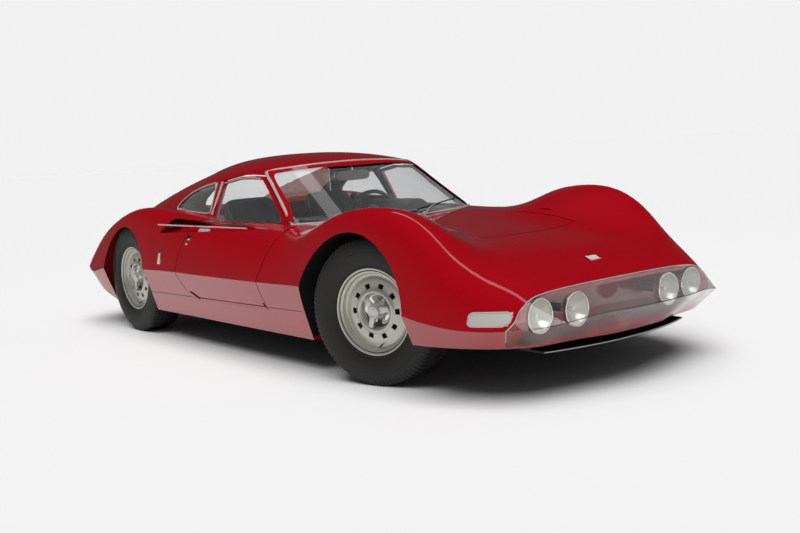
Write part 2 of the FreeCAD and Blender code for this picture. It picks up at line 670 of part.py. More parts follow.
def marker_zone(side, margin):
    """Block around one side lamp ahead of the front arch, seen from the side"""
    x1 = nose_x - marker_back + margin + marker_length / 2
    x0 = x1 - marker_length - 2 * margin
    z0 = marker_z - marker_height / 2 - margin
    return box(x0, x1, side * (marker_inner_y - margin), side * (half_width + overrun),
               z0, z0 + marker_height + 2 * margin)


def mouth(margin):
    """All that lies ahead of the cover's edge, a slightly bent line seen from the side"""
    points = [(cover_edge_x, height), (nose_x - cover_end_back, cover_end_z),
              (nose_x - cover_foot_back, nose_recess_floor), (length, nose_recess_floor), (length, height)]
    return side_prism(grown(points, -margin), -width, width)


def lid_recess(rear_x, front_x, half):
    """The sunk seat of a lid: as deep as the lid is thick, with a gap round its edges"""
    slab = box(rear_x - shut_gap, front_x + shut_gap, -half - shut_gap, half + shut_gap, lid_floor, height)
    return slab.cut(under(sunk_grid(lower_grid, lid_wall + seat_gap)))


def lid_opening(rear_x, front_x, half, floor):
    return box(rear_x + boot_margin, front_x - boot_margin, boot_margin - half, half - boot_margin,
               floor, height)


def lamp_room(side):
    """Round room for an outer lamp, which reaches up into the thickness of the fender"""
    y = side * lamp_outer_y
    hollow = rod(V(nose_recess_x, y, lamp_z), V(nose_x, y, lamp_z), lamp_radius + lamp_rim + shut_gap)
    return hollow.common(under(sunk_grid(lower_grid, cover_wall + seat_gap)))


def fixed_body():
    """The whole fixed body before it is split: carved by cabin, doors, wells, bays and nose recess"""
    main = body_solid.cut(cabin_tub()).cut(cabin_space)
    arm_room = arm_spread + seat_gap
    low_z = tyre_radius - ball_reach - arm_radius * 2
    high_z = tyre_radius + ball_reach + arm_radius * 2 + seat_gap
    slot = box(nose_recess_x, length, -nose_slot_half, nose_slot_half, nose_recess_floor, height)
    inside_fenders = under(sunk_grid(lower_grid, fender_wall)).common(edge_band(fender_wall))
    cuts = [box(engine_bay_rear_x, engine_bay_front_x, -engine_bay_half, engine_bay_half,
                -overrun, engine_bay_top),
            lid_opening(engine_lid_rear_x, engine_lid_front_x, engine_lid_half, engine_bay_top - overrun),
            lid_opening(front_lid_rear_x, front_lid_front_x, front_lid_half, boot_floor),
            lid_recess(front_lid_rear_x, front_lid_front_x, front_lid_half),
            lid_recess(engine_lid_rear_x, engine_lid_front_x, engine_lid_half),
            slot.common(under(sunk_grid(lower_grid, body_wall))),
            lamp_room(-1),
            lamp_room(1),
            mouth(0),
            box(-length, tail_recess_x, -tail_recess_half, tail_recess_half,
                tail_recess_low, tail_recess_high),
            box(-length, engine_bay_rear_x, -pipe_y - pipe_radius - shut_gap, pipe_y + pipe_radius + shut_gap,
                -overrun, tail_bottom + shut_gap),
            box(front_axle_x - arm_room, front_axle_x + arm_room, -wheel_well_half - overrun,
                wheel_well_half + overrun, -overrun, high_z),
            box(rear_axle_x - arm_room, rear_axle_x + arm_room, -rear_well_inner_y - overrun,
                rear_well_inner_y + overrun, low_z, high_z)]
    for side in (1, -1):
        outside = side * (half_width + overrun)
        cuts.append(doorway() if side > 0 else mirrored(doorway()))
        cuts.append(arch_prism(front_axle_x - front_arch_shift, front_arch_half, front_arch_rise,
                               side * wheel_well_half, outside))
        front_well = arch_prism(front_axle_x, front_well_half, front_arch_rise, side * wheel_well_half,
                                side * front_well_outer_y)
        cuts.append(front_well.common(inside_fenders))
        cuts.append(arch_prism(rear_axle_x, rear_arch_half, rear_arch_rise,
                               side * rear_well_inner_y, outside))
        rear_well = arch_prism(rear_axle_x, rear_well_half, rear_well_rise, side * rear_well_inner_y,
                               side * rear_well_outer_y)
        cuts.append(rear_well.common(inside_fenders))
        cuts.append(marker_zone(side, seat_gap))
        cuts.append(scoop_cut if side > 0 else mirrored(scoop_cut))
    for cut in cuts:
        main = main.cut(cut)
    return main


def lid(rear_x, front_x, half):
    slab = box(rear_x, front_x, -half, half, lid_floor, height)
    return body_solid.common(slab).cut(under(sunk_grid(lower_grid, lid_wall)))


def head_zone():
    """Ahead of the corner where the roof meets the screen pillars"""
    return box(front_axle_x + screen_head_shares[3][0] * wheelbase, length, -width, width,
               belt_level, 2 * height)


def greenhouse():
    """Roof, pillars and sail panels as one, with all window openings cut"""
    solid = cabin_solid.cut(cabin_space).cut(upper_solid)
    solid = solid.common(box(sail_end_x, length, -width, width, belt_level, 2 * height))
    solid = solid.cut(box(-length, rear_window_x, -sail_inner_y, sail_inner_y, belt_level, 2 * height))
    solid = solid.cut(under(sunk_grid(cabin_grid, screen_frame)).common(head_zone()))
    for outline in (door_window_outline, quarter_window_outline):
        solid = solid.cut(side_prism(outline, -width, width))
    foot = side_block(side_outline(roof_foot_shares), 0).cut(inboard(-shut_gap))
    return solid.cut(foot).cut(mirrored(foot))


def side_layer(block, depth, wall):
    """The part of a block that lies in the cabin's side surface, between two depths"""
    return block.common(under(sunk_grid(cabin_grid, depth))).cut(under(sunk_grid(cabin_grid, depth + wall)))


def window_glass(outline, side):
    reach = side_prism(grown(outline, -seat_gap), side * half_width / 2, side * half_width)
    return side_layer(reach, glass_depth, glass_wall)


def window_frame_piece(side):
    """The door's frame round its glass, in the roof's side surface"""
    outer = side_prism(grown(door_window_outline, -window_gap), side * half_width / 2, side * half_width)
    inner = side_prism(glass_outline, side * half_width / 2, side * half_width)
    foot = inboard(0).common(under(sunk_grid(lower_grid, -shut_gap)))
    return side_layer(outer.cut(inner), glass_depth / 2, body_wall).cut(foot)


def door(side):
    """Hollow behind the window line: lower block, window frame and pull bar; the right is mirrored"""
    block = body_solid.common(door_block()).cut(side_prism(glass_outline, half_width / 2, half_width))
    block = biggest(block.cut(scoop_cut))
    whole = block.fuse(window_frame_piece(1))
    return whole if side > 0 else mirrored(whole)


def lamp(back, y, z):
    """Round lamp facing forward: tapered bowl, rim and front glass as one"""
    x = nose_x - back
    bowl = Part.makeCone(lamp_radius * 0.45, lamp_radius, lamp_depth, V(x - lamp_depth, y, z), V(1, 0, 0))
    stalk = rod(V(nose_recess_x + seat_gap, y, z), V(x - lamp_depth / 2, y, z), lamp_radius * 0.3)
    ring = rod(V(x, y, z), V(x + lamp_rim * 2, y, z), lamp_radius + lamp_rim)
    return bowl.fuse([ring, stalk]).common(under(sunk_grid(lower_grid, cover_wall + seat_gap * 2)))


def lamp_cover():
    """One clear piece over the four lamps: follows the nose above and below its sharp edge"""
    inner = under(sunk_grid(lower_grid, cover_wall)).common(edge_band(cover_wall))
    return body_solid.common(mouth(seat_gap)).cut(inner)


def seat(side):
    """Bucket seat: cushion and leaning back as one closed solid"""
    y = side * seat_y
    seat_front_x = front_axle_x - seat_front_back
    rear_x = seat_front_x - seat_length
    cushion = box(rear_x, seat_front_x, y - seat_half, y + seat_half, floor_top + seat_gap, cushion_top)
    back = side_prism([(rear_x + seat_back_wall, floor_top + seat_gap), (rear_x, floor_top + seat_gap),
                       (rear_x - seat_lean, seat_top), (rear_x - seat_lean + seat_back_wall, seat_top)],
                      y - seat_half, y + seat_half)
    return cushion.fuse(back)


def biggest(shape):
    return max(shape.Solids, key=lambda solid: solid.Volume)


def save(name, shape):
    solids = [solid for solid in shape.Solids if solid.Volume > tiny_volume]
    whole = Part.Compound(solids) if len(solids) > 1 else solids[0]
    whole.exportStep("parts/" + name + ".step")
    size = whole.BoundBox
    print(name, len(solids), whole.isValid(), round(whole.Volume / 1e6, 3),
          [round(v) for v in (size.XMin, size.XMax, size.YMin, size.YMax, size.ZMin, size.ZMax)], flush=True)


os.makedirs("parts", exist_ok=True)
glass_outline = grown(door_window_outline, -window_gap - window_frame)
scoop_cut = scoop()

# Body
body = fixed_body()
sill_front_x = front_axle_x - front_arch_shift - front_arch_half
sill_rear_x = rear_axle_x + rear_well_half
sill_cut = side_prism([(sill_rear_x, -height), (sill_rear_x, sill_line_rear), (sill_front_x, sill_line_front),
                       (sill_front_x, -height)], -width, width)
save("floor_and_sills", body.common(sill_cut))
body = body.cut(sill_cut)
save("front_body", biggest(body.common(box(split_x, length, -width, width, -height, 2 * height))))
save("rear_body", biggest(body.common(box(-length, split_x, -width, width, -height, 2 * height))))
save("roof", biggest(greenhouse()))
save("front_lid", biggest(lid(front_lid_rear_x, front_lid_front_x, front_lid_half)))
save("engine_lid", biggest(lid(engine_lid_rear_x, engine_lid_front_x, engine_lid_half)))
for side, name in ((-1, "right"), (1, "left")):
    save("door_" + name, door(side))
    save("door_glass_" + name, biggest(window_glass(glass_outline, side)))
screen = under(sunk_grid(cabin_grid, screen_frame + seat_gap))
screen = screen.common(behind(sunk_grid(glass_grid, glass_depth)))
screen = screen.cut(behind(sunk_grid(glass_grid, glass_depth + glass_wall)))
save("windscreen", biggest(screen.cut(upper_solid)))
raised_body = under(sunk_grid(lower_grid, -seat_gap))
save("quarter_windows", Part.Compound([biggest(window_glass(quarter_window_outline, side).cut(raised_body))
                                       for side in (-1, 1)]))
rear_sheet = box(rear_window_x - glass_wall, rear_window_x, -sail_inner_y + seat_gap, sail_inner_y - seat_gap,
                 belt_level, height)
save("rear_window", biggest(rear_sheet.common(under(sunk_grid(cabin_grid, glass_depth))).cut(upper_solid)))

# Nose
save("lamp_cover", biggest(lamp_cover()))
lamp_places = ((lamp_outer_back, lamp_outer_y), (lamp_inner_back, lamp_inner_y))
save("headlamps", Part.Compound([lamp(back, side * y, lamp_z) for side in (-1, 1) for back, y in lamp_places]))
save("marker_lamps", Part.Compound([biggest(body_solid.common(marker_zone(side, 0))) for side in (-1, 1)]))
lip_base_z = nose_bottom - lip_drop - lip_wall
lip_centre_x = nose_x - lip_back - lip_radius
lip = box(nose_recess_x, nose_x, -lip_half, lip_half, lip_base_z, nose_bottom - lip_drop)
lip = lip.common(rod(V(lip_centre_x, 0, lip_base_z), V(lip_centre_x, 0, nose_bottom), lip_radius))
brackets = [box(nose_recess_x, nose_recess_x + overrun, side * (lip_half - lip_wall), side * lip_half,
                lip_base_z, nose_bottom - seat_gap) for side in (-1, 1)]
save("front_lip", lip.fuse(brackets))

# Tail, engine and exhaust
panel = box(tail_recess_x - panel_wall - seat_gap, tail_recess_x - seat_gap, -tail_recess_half + seat_gap,
            tail_recess_half - seat_gap, tail_recess_low + seat_gap, tail_recess_high - seat_gap)
save("tail_panel", panel)
tail_x = tail_recess_x - panel_wall - 2 * seat_gap
tail_lamp_z = (tail_recess_low + tail_recess_high) / 2
save("tail_lamps", Part.Compound([rod(V(tail_x, side * y, tail_lamp_z),
                                      V(tail_x - tail_lamp_depth, side * y, tail_lamp_z), tail_lamp_radius)
                                  for side in (-1, 1) for y in (tail_lamp_outer_y, tail_lamp_inner_y)]))
engine_front_x = engine_bay_front_x - beam_wall
engine_rear_x = engine_front_x - engine_length
engine = box(engine_rear_x, engine_front_x, -engine_width / 2, engine_width / 2, engine_bottom, engine_top)
gearbox_rear_x = engine_rear_x - gearbox_length
gearbox = box(gearbox_rear_x, engine_rear_x, -gearbox_half, gearbox_half, gearbox_bottom, gearbox_top)
mount_bar = box(engine_front_x - beam_wall * 2, engine_front_x - beam_wall, -engine_bay_half + seat_gap,
                engine_bay_half - seat_gap, tyre_radius, tyre_radius + beam_wall)
save("engine", engine.fuse([gearbox, mount_bar]))
silencer_x = engine_bay_rear_x + seat_gap
silencer = box(silencer_x, silencer_x + silencer_length, -silencer_half, silencer_half,
               silencer_bottom, silencer_top)
pipes = []
bores = []
for side in (-1, 1):
    start = V(silencer_x, side * pipe_y, pipe_z)
    end = V(silencer_x - pipe_length, side * pipe_y, pipe_z)
    pipes.append(rod(start, end, pipe_radius))
    bores.append(rod(start, end, pipe_radius - pipe_wall))
save("exhaust", silencer.fuse(pipes).cut(Part.Compound(bores)))

# Running gear
ball_y = front_wheel_y - kingpin_offset
front_gear = arms(front_axle_x, arm_inner_y, ball_y)
save("front_suspension", front_gear)
for side, name in ((-1, "right"), (1, "left")):
    for kind, piece in (("rim", wheel_rim()), ("tyre", tyre()), ("knuckle", upright(kingpin_offset))):
        if side > 0:
            piece = mirrored(piece)
        if kind != "knuckle":
            rear = piece.copy()
            rear.translate(V(rear_axle_x, side * rear_wheel_y, tyre_radius))
            save(kind + "_rear_" + name, rear)
        piece.translate(V(front_axle_x, side * front_wheel_y, tyre_radius))
        piece.rotate(V(front_axle_x, side * ball_y, 0), V(0, 0, 1), steer_rest_deg)
        save(kind + "_front_" + name, piece)
rear_posts = []
for side in (-1, 1):
    post = upright(kingpin_offset) if side < 0 else mirrored(upright(kingpin_offset))
    post.translate(V(rear_axle_x, side * rear_wheel_y, tyre_radius))
    rear_posts.append(post)
    rear_posts.append(rod(V(rear_axle_x, side * (rear_wheel_y - kingpin_offset), tyre_radius - ball_reach),
                          V(rear_axle_x, side * (rear_wheel_y - kingpin_offset), tyre_radius + ball_reach),
                          ball_radius * 0.8))
    rear_posts.append(rod(V(rear_axle_x, side * (gearbox_half + seat_gap), tyre_radius),
                          V(rear_axle_x, side * (rear_wheel_y - kingpin_offset), tyre_radius),
                          half_shaft_radius))
rear_arms = arms(rear_axle_x, engine_bay_half - beam_wall, rear_wheel_y - kingpin_offset)
save("rear_suspension", rear_arms.fuse(rear_posts))

# Cabin fittings
save("seat_left", seat(1))
save("seat_right", seat(-1))
dash = box(scuttle_x - dash_behind, scuttle_x + dash_ahead, -dash_half, dash_half,
           belt_level + seat_gap, dash_top)
hood_x = front_axle_x - hood_back
hood = rod(V(hood_x, driver_y, hood_z), V(scuttle_x, driver_y, hood_z), hood_radius)
hood = hood.common(box(-length, length, -width, width, belt_level + seat_gap, height))
room = under(sunk_grid(cabin_grid, body_wall * 2)).common(behind(sunk_grid(glass_grid, body_wall * 2)))
save("dashboard", dash.fuse(hood).common(room))
column_end = V(front_axle_x - wheel_centre_back, driver_y, wheel_centre_z)
lean = math.radians(column_lean_deg)
along = V(math.cos(lean), 0, -math.sin(lean))
column = rod(column_end + along * (column_radius * 2), column_end + along * column_length, column_radius)
hanger = column_end + along * (column_length - column_radius)
hanger_box = box(hanger.x - column_radius / 2, hanger.x + column_radius / 2, driver_y - column_radius / 2,
                 driver_y + column_radius / 2, hanger.z, belt_level)
save("steering_column", column.fuse(hanger_box))
ring = Part.makeTorus(wheel_ring_radius, wheel_ring_wall, column_end, along)
boss = rod(column_end - along * column_radius, column_end + along * (column_radius * 2 - seat_gap),
           column_radius * 1.6)
spokes = []
for turn in (0, 120, 240):
    spoke = rod(V(0, 0, 0), V(0, 0, wheel_ring_radius), wheel_ring_wall * 0.6)
    spoke.rotate(V(0, 0, 0), V(1, 0, 0), turn + 180)
    spoke.rotate(V(0, 0, 0), V(0, 1, 0), column_lean_deg)
    spoke.translate(column_end)
    spokes.append(spoke)
save("steering_wheel", ring.fuse([boss] + spokes))
lever_foot = V(front_axle_x - gear_lever_back, 0, floor_top + seat_gap)
lever_head = V(front_axle_x - gear_lever_back, 0, gear_lever_top)
lever = rod(lever_foot, lever_head, gear_stick_radius)
save("gear_lever", lever.fuse(Part.makeSphere(gear_knob_radius, lever_head)))
mirror_x = front_axle_x - mirror_back
glass_box = box(mirror_x, mirror_x + mirror_wall, -mirror_width / 2, mirror_width / 2,
                mirror_z - mirror_height / 2, mirror_z + mirror_height / 2)
stalk_x = mirror_x + mirror_wall / 2
stalk = rod(V(stalk_x, 0, mirror_z), V(stalk_x, 0, height), mirror_stalk_radius)
save("mirror", glass_box.fuse(stalk.common(cabin_space)))
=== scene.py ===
import json
import logging
import math
from dataclasses import dataclass
from enum import Enum
from functools import reduce
from typing import Callable, Sequence

import bmesh
import bpy
from mathutils import Matrix, Vector
from mathutils.bvhtree import BVHTree


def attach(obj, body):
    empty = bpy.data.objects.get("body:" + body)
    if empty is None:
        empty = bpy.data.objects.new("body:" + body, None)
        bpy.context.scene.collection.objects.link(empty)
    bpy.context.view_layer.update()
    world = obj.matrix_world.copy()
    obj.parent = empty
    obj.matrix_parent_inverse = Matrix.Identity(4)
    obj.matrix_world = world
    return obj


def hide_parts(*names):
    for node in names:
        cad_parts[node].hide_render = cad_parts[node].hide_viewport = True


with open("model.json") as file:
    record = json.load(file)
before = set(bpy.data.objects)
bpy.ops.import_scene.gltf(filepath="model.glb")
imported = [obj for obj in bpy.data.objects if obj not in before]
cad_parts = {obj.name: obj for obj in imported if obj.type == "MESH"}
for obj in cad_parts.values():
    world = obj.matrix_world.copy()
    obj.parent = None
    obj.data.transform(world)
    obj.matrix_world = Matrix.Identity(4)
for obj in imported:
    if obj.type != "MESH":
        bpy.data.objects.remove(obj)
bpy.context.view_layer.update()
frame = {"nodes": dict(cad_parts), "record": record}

log = logging.getLogger("coupe")

Colour = tuple[float, float, float]
Point = tuple[float, float, float]
Pair = tuple[float, float]
Place = Sequence[float]
Tree = bpy.types.NodeTree
Node = bpy.types.ShaderNode
Socket = bpy.types.NodeSocket

UP = Vector((0, 0, 1))
LEFT = Vector((0, 1, 0))
AHEAD = Vector((1, 0, 0))
FACE_FORWARD = Matrix.Rotation(math.radians(-90.0), 4, "Z")
FACE_REARWARD = Matrix.Rotation(math.radians(90.0), 4, "Z")
FACE_UPWARD = Matrix(((1, 0, 0, 0), (0, 0, 1, 0), (0, 1, 0, 0), (0, 0, 0, 1)))
# Edges that turn by more than this stay crisp
SHARP_DEG = 38.0
# How far a blank plate's back lies inside its panel
SUNK = 0.001


class Graph:
    """Short ways to add and wire nodes in one shader tree."""

    def __init__(self, tree: Tree) -> None:
        """Work on this tree."""
        self.tree = tree

    def add(self, kind: str, **settings: object) -> Node:
        """Add a node.

        Args:
            kind: Its type's name, without the word that all share.
            settings: Properties such as its operation.

        Returns:
            The node.
        """
        node = self.tree.nodes.new(f"ShaderNode{kind}")
        for name, value in settings.items():
            setattr(node, name, value)
        return node

    def feed(self, node: Node, inputs: dict[str | int, object]) -> Node:
        """Give a node's inputs a socket to follow or a constant.

        Args:
            node: The node that takes them.
            inputs: A socket or a value for each input's name or place.

        Returns:
            The same node.
        """
        for label, value in inputs.items():
            if isinstance(value, Socket):
                self.tree.links.new(value, node.inputs[label])
            else:
                node.inputs[label].default_value = value
        return node

    def math(self, operation: str, first: object, second: object = 0.0, clamp: bool = False) -> Socket:
        """The result of one math node on two sockets or numbers."""
        node = self.add("Math", operation=operation, use_clamp=clamp)
        return self.feed(node, {0: first, 1: second}).outputs[0]

    def product(self, *factors: Socket) -> Socket:
        """All factors multiplied; of masks, the places that every mask has."""
        return reduce(lambda one, other: self.math("MULTIPLY", one, other), factors)

    def under(self, value: Socket, limit: float) -> Socket:
        """One where a value is less than a limit."""
        return self.math("LESS_THAN", value, limit)


class GroupMaker:
    """Builds each shared shader effect once, as a node group with named inputs and outputs."""

    @staticmethod
    def _start(name: str, inputs: dict[str, float], outputs: Sequence[str]) -> Graph:
        """Make an empty group with its sockets.

        Args:
            name: The group's name.
            inputs: Each float input's name and default.
            outputs: Each float output's name.

        Returns:
            The new group's graph.
        """
        tree = bpy.data.node_groups.new(name, "ShaderNodeTree")
        for label, value in inputs.items():
            socket = tree.interface.new_socket(label, in_out="INPUT", socket_type="NodeSocketFloat")
            socket.default_value = value
        for label in outputs:
            tree.interface.new_socket(label, in_out="OUTPUT", socket_type="NodeSocketFloat")
        tree.nodes.new("NodeGroupInput").name = "in"
        tree.nodes.new("NodeGroupOutput").name = "out"
        return Graph(tree)

    @classmethod
    def mottle(cls) -> Tree:
        """Soft cloudy variation: Value around zero and Height for a bump.

        Returns:
            The node group, made on first use.
        """
        made = bpy.data.node_groups.get("mottle")
        if made:
            return made
        graph = cls._start("mottle", {"Scale": 8.0, "Amount": 0.05}, ("Value", "Height"))
        source = graph.tree.nodes["in"].outputs
        noise = graph.feed(graph.add("TexNoise"), {
            "Detail": 4.0, "Vector": graph.add("TexCoord").outputs["Object"], "Scale": source["Scale"]})
        swing = graph.math("SUBTRACT", noise.outputs["Fac"], 0.5)
        graph.feed(graph.tree.nodes["out"], {
            "Value": graph.math("MULTIPLY", swing, source["Amount"]), "Height": noise.outputs["Fac"]})
        return graph.tree

    @classmethod
    def hollows(cls) -> Tree:
        """Mask of the places a body panel leaves unpainted: wheel wells, floor pan and cabin lining.

        Returns:
            The node group, made on first use; Mask is one in a wheel well, under the floor or in the cabin.
        """
        made = bpy.data.node_groups.get("hollows")
        if made:
            return made
        graph = cls._start("hollows", {}, ("Mask",))
        geometry = graph.add("NewGeometry").outputs
        along, across, level = graph.feed(graph.add("SeparateXYZ"), {0: geometry["Position"]}).outputs
        face_x, face_y, face_z = graph.feed(graph.add("SeparateXYZ"), {0: geometry["True Normal"]}).outputs
        inboard = graph.under(graph.math("ABSOLUTE", across), 0.60)
        arch_base, margin = 0.308, 0.03
        masks = []
        for axle_x, half, rise in ((1.005, 0.352, 0.350), (-1.25, 0.296, 0.318)):
            u = graph.math("SUBTRACT", along, axle_x)
            v = graph.math("SUBTRACT", level, arch_base)
            turned = graph.math("ADD", graph.product(u, face_x), graph.product(v, face_z))
            wide = graph.math("DIVIDE", u, half + margin)
            high = graph.math("DIVIDE", v, rise + margin)
            reach = graph.math("ADD", graph.product(wide, wide), graph.product(high, high))
            near = graph.under(reach, 1.0)
            lengthwise = graph.under(graph.math("ABSOLUTE", face_y), 0.35)
            masks.append(graph.product(graph.under(turned, -0.12), near, lengthwise))
            masks.append(graph.product(near, inboard, graph.under(face_z, 0.3)))
        masks.append(graph.product(graph.under(level, 0.235), graph.under(face_z, -0.9)))
        middle = graph.math("ABSOLUTE", graph.math("ADD", along, 0.26))
        masks.append(graph.product(graph.under(middle, 0.535), inboard, graph.under(level, 0.652)))
        masks.append(graph.product(graph.math("GREATER_THAN", level, 0.66), graph.under(face_z, -0.25)))
        total = reduce(lambda one, other: graph.math("MAXIMUM", one, other), masks)
        graph.feed(graph.tree.nodes["out"], {"Mask": total})
        return graph.tree


@dataclass(frozen=True)
class Finish:
    """One surface finish: a Principled shader with cloudy colour and roughness and a fine bump."""

    name: str
    colour: Colour
    roughness: float = 0.5
    metallic: float = 0.0
    coat: float = 0.0
    coat_roughness: float = 0.03
    coat_ior: float = 1.5
    specular: float = 0.5
    mottle_scale: float = 8.0
    mottle_amount: float = 0.06
    roughness_amount: float = 0.08
    bump_scale: float = 160.0
    bump_strength: float = 0.05
    bump_depth: float = 0.0004

    def build(self) -> bpy.types.Material:
        """Make the material.

        Returns:
            It, or the one already made under this name.
        """
        title = f"{self.name}_finish"
        made = bpy.data.materials.get(title)
        if made:
            return made
        material = bpy.data.materials.new(title)
        material.use_nodes = True
        graph = Graph(material.node_tree)
        shade = self._cloud(graph, self.mottle_scale, self.mottle_amount)["Value"]
        tint = graph.feed(graph.add("HueSaturation"), {
            "Color": (*self.colour, 1.0), "Value": graph.math("ADD", shade, 1.0)})
        rough = self._cloud(graph, self.mottle_scale * 3, self.roughness_amount)["Value"]
        bump = graph.feed(graph.add("Bump"), {
            "Strength": self.bump_strength, "Distance": self.bump_depth,
            "Height": self._cloud(graph, self.bump_scale, 1.0)["Height"]})
        shader = graph.feed(graph.tree.nodes["Principled BSDF"], {
            "Metallic": self.metallic, "Specular IOR Level": self.specular, "Coat Weight": self.coat,
            "Coat Roughness": self.coat_roughness, "Coat IOR": self.coat_ior,
            "Base Color": tint.outputs["Color"], "Normal": bump.outputs["Normal"],
            "Roughness": graph.math("ADD", rough, self.roughness, clamp=True)})
        self.refine(graph, shader)
        material.diffuse_color = (*self.colour, 1.0)
        return material

    @staticmethod
    def _cloud(graph: Graph, scale: float, amount: float) -> Sequence[Socket]:
        """The outputs of the mottle group with its own scale and amount."""
        node = graph.add("Group", node_tree=GroupMaker.mottle())
        return graph.feed(node, {"Scale": scale, "Amount": amount}).outputs

    def refine(self, graph: Graph, shader: Node) -> None:
        """Hook for finishes that need more than the common nodes."""


@dataclass(frozen=True)
class Paint(Finish):
    """Body paint that gives way to a matt dark lining in wheel wells, under the floor and in the cabin."""

    lining: Colour = (0.014, 0.013, 0.013)

    def refine(self, graph: Graph, shader: Node) -> None:
        """Put the lining's colour, roughness and lack of coat where the mask is one.

        Args:
            graph: The material's graph.
            shader: Its Principled node.
        """
        mask = graph.add("Group", node_tree=GroupMaker.hollows()).outputs["Mask"]
        painted = shader.inputs["Base Color"].links[0].from_socket
        smooth = shader.inputs["Roughness"].links[0].from_socket
        blend = graph.feed(graph.add("Mix", data_type="RGBA"), {
            "Factor": mask, "A": painted, "B": (*self.lining, 1.0)})
        graph.feed(shader, {
            "Base Color": blend.outputs["Result"], "Roughness": graph.math("MAXIMUM", smooth, mask),
            "Coat Weight": graph.math("SUBTRACT", self.coat, mask, clamp=True)})


@dataclass(frozen=True)
class Glass(Finish):
    """Clear sheet glass or acrylic that lets shadow and diffuse rays through unbent."""

    transmission: float = 1.0
    ior: float = 1.45
    see_through: float = 0.90

    def refine(self, graph: Graph, shader: Node) -> None:
        """Refract what the camera sees, and let light in as if the sheet were only faintly tinted.

        Args:
            graph: The material's graph.
            shader: Its Principled node.
        """
        graph.feed(shader, {"Transmission Weight": self.transmission, "IOR": self.ior})
        clear = graph.feed(graph.add("BsdfTransparent"), {"Color": (*[self.see_through] * 3, 1.0)})
        path = graph.add("LightPath").outputs
        straight = graph.math("MAXIMUM", path["Is Shadow Ray"], path["Is Diffuse Ray"])
        mix = graph.feed(graph.add("MixShader"), {0: straight, 1: shader.outputs[0], 2: clear.outputs[0]})
        graph.feed(graph.tree.nodes["Material Output"], {"Surface": mix.outputs[0]})


RED_PAINT = Paint("red_paint", (0.37, 0.0004, 0.006), specular=0.08, coat=1.0, coat_roughness=0.015,
                  coat_ior=1.9, mottle_scale=3.0, mottle_amount=0.03, roughness_amount=0.04,
                  bump_scale=420.0, bump_strength=0.02, bump_depth=0.0001)
BRIGHT_TRIM = Finish("bright_trim", (0.62, 0.61, 0.59), roughness=0.22, metallic=0.35, specular=0.8,
                     mottle_amount=0.03)
BLACK_PANEL = Finish("black_panel", (0.012, 0.012, 0.012), roughness=0.55)
TYRE_RUBBER = Finish("tyre_rubber", (0.0150, 0.0142, 0.0128), roughness=0.58, specular=0.4,
                     mottle_scale=30.0, mottle_amount=0.35, bump_scale=700.0, bump_strength=0.2)
WHEEL_SILVER = Finish("wheel_silver", (0.55, 0.535, 0.47), roughness=0.36, metallic=0.6,
                      mottle_scale=14.0, mottle_amount=0.12)
CHROME = Finish("chrome", (0.78, 0.78, 0.77), roughness=0.07, metallic=1.0, roughness_amount=0.05)
SATIN_CHROME = Finish("satin_chrome", (0.58, 0.57, 0.54), roughness=0.30, metallic=0.55, specular=0.8)
LAMP_SILVER = Finish("lamp_silver", (0.74, 0.72, 0.66), roughness=0.22, metallic=0.5,
                     roughness_amount=0.05)
DARK_STEEL = Finish("dark_steel", (0.06, 0.06, 0.062), metallic=0.7, mottle_amount=0.3)
CAST_METAL = Finish("cast_metal", (0.30, 0.30, 0.30), roughness=0.55, metallic=0.8, mottle_scale=20.0,
                    mottle_amount=0.3, bump_scale=300.0, bump_strength=0.3)
BLACK_LEATHER = Finish("black_leather", (0.020, 0.018, 0.017), roughness=0.45,
                       bump_scale=260.0, bump_strength=0.3)
# Black trim; also the seam moulding on the flanks, where its black is painted shade of a panel gap
BLACK_TRIM_AND_GAP_SHADE = Finish("black_trim_and_gap_shade", (0.020, 0.020, 0.020), roughness=0.55, bump_scale=300.0, bump_strength=0.2)
GREY_COWL = Finish("grey_cowl", (0.30, 0.30, 0.29), roughness=0.4, metallic=0.3, bump_scale=300.0)
PALE_ENAMEL = Finish("pale_enamel", (0.72, 0.68, 0.52), roughness=0.25, coat=1.0)
PALE_FLOOR = Finish("pale_floor", (0.80, 0.80, 0.80), roughness=0.9, specular=0.0, mottle_scale=0.5,
                    mottle_amount=0.01)
RED_LENS = Finish("red_lens", (0.30, 0.004, 0.004), roughness=0.12, coat=1.0)
CLEAR_LENS = Finish("clear_lens", (0.50, 0.475, 0.43), roughness=0.25, coat=1.0)
CLEAR_GLASS = Glass("clear_glass", (0.86, 0.87, 0.87), roughness=0.0, roughness_amount=0.004,
                    mottle_amount=0.01, bump_strength=0.0)
LAMP_GLASS = Glass("lamp_glass", (0.95, 0.95, 0.94), roughness=0.0, roughness_amount=0.004,
                   mottle_amount=0.01, bump_strength=0.0)


class Slot(Enum):
    """The record's material slots and the finish that each one shows."""

    body_paint = RED_PAINT
    black_panel = BLACK_PANEL
    clear_glass = CLEAR_GLASS
    lamp_glass = LAMP_GLASS
    clear_lens = CLEAR_LENS
    red_lens = RED_LENS
    lamp_silver = LAMP_SILVER
    tyre_rubber = TYRE_RUBBER
    wheel_metal = WHEEL_SILVER
    running_steel = DARK_STEEL
    engine_metal = CAST_METAL
    seat_leather = BLACK_LEATHER
    trim_black = BLACK_TRIM_AND_GAP_SHADE
    chrome = CHROME


class Side(Enum):
    """The car's two sides, as the sign of y."""

    left = 1
    right = -1


def mirrored(points: Sequence[Place]) -> list[Vector]:
    """The same points on the other side of the car."""
    return [Vector((x, -y, z)) for x, y, z in points]


def evenly(start: float, end: float, count: int) -> list[float]:
    """Values at equal steps from start to end."""
    return [start + (end - start) * index / (count - 1) for index in range(count)]


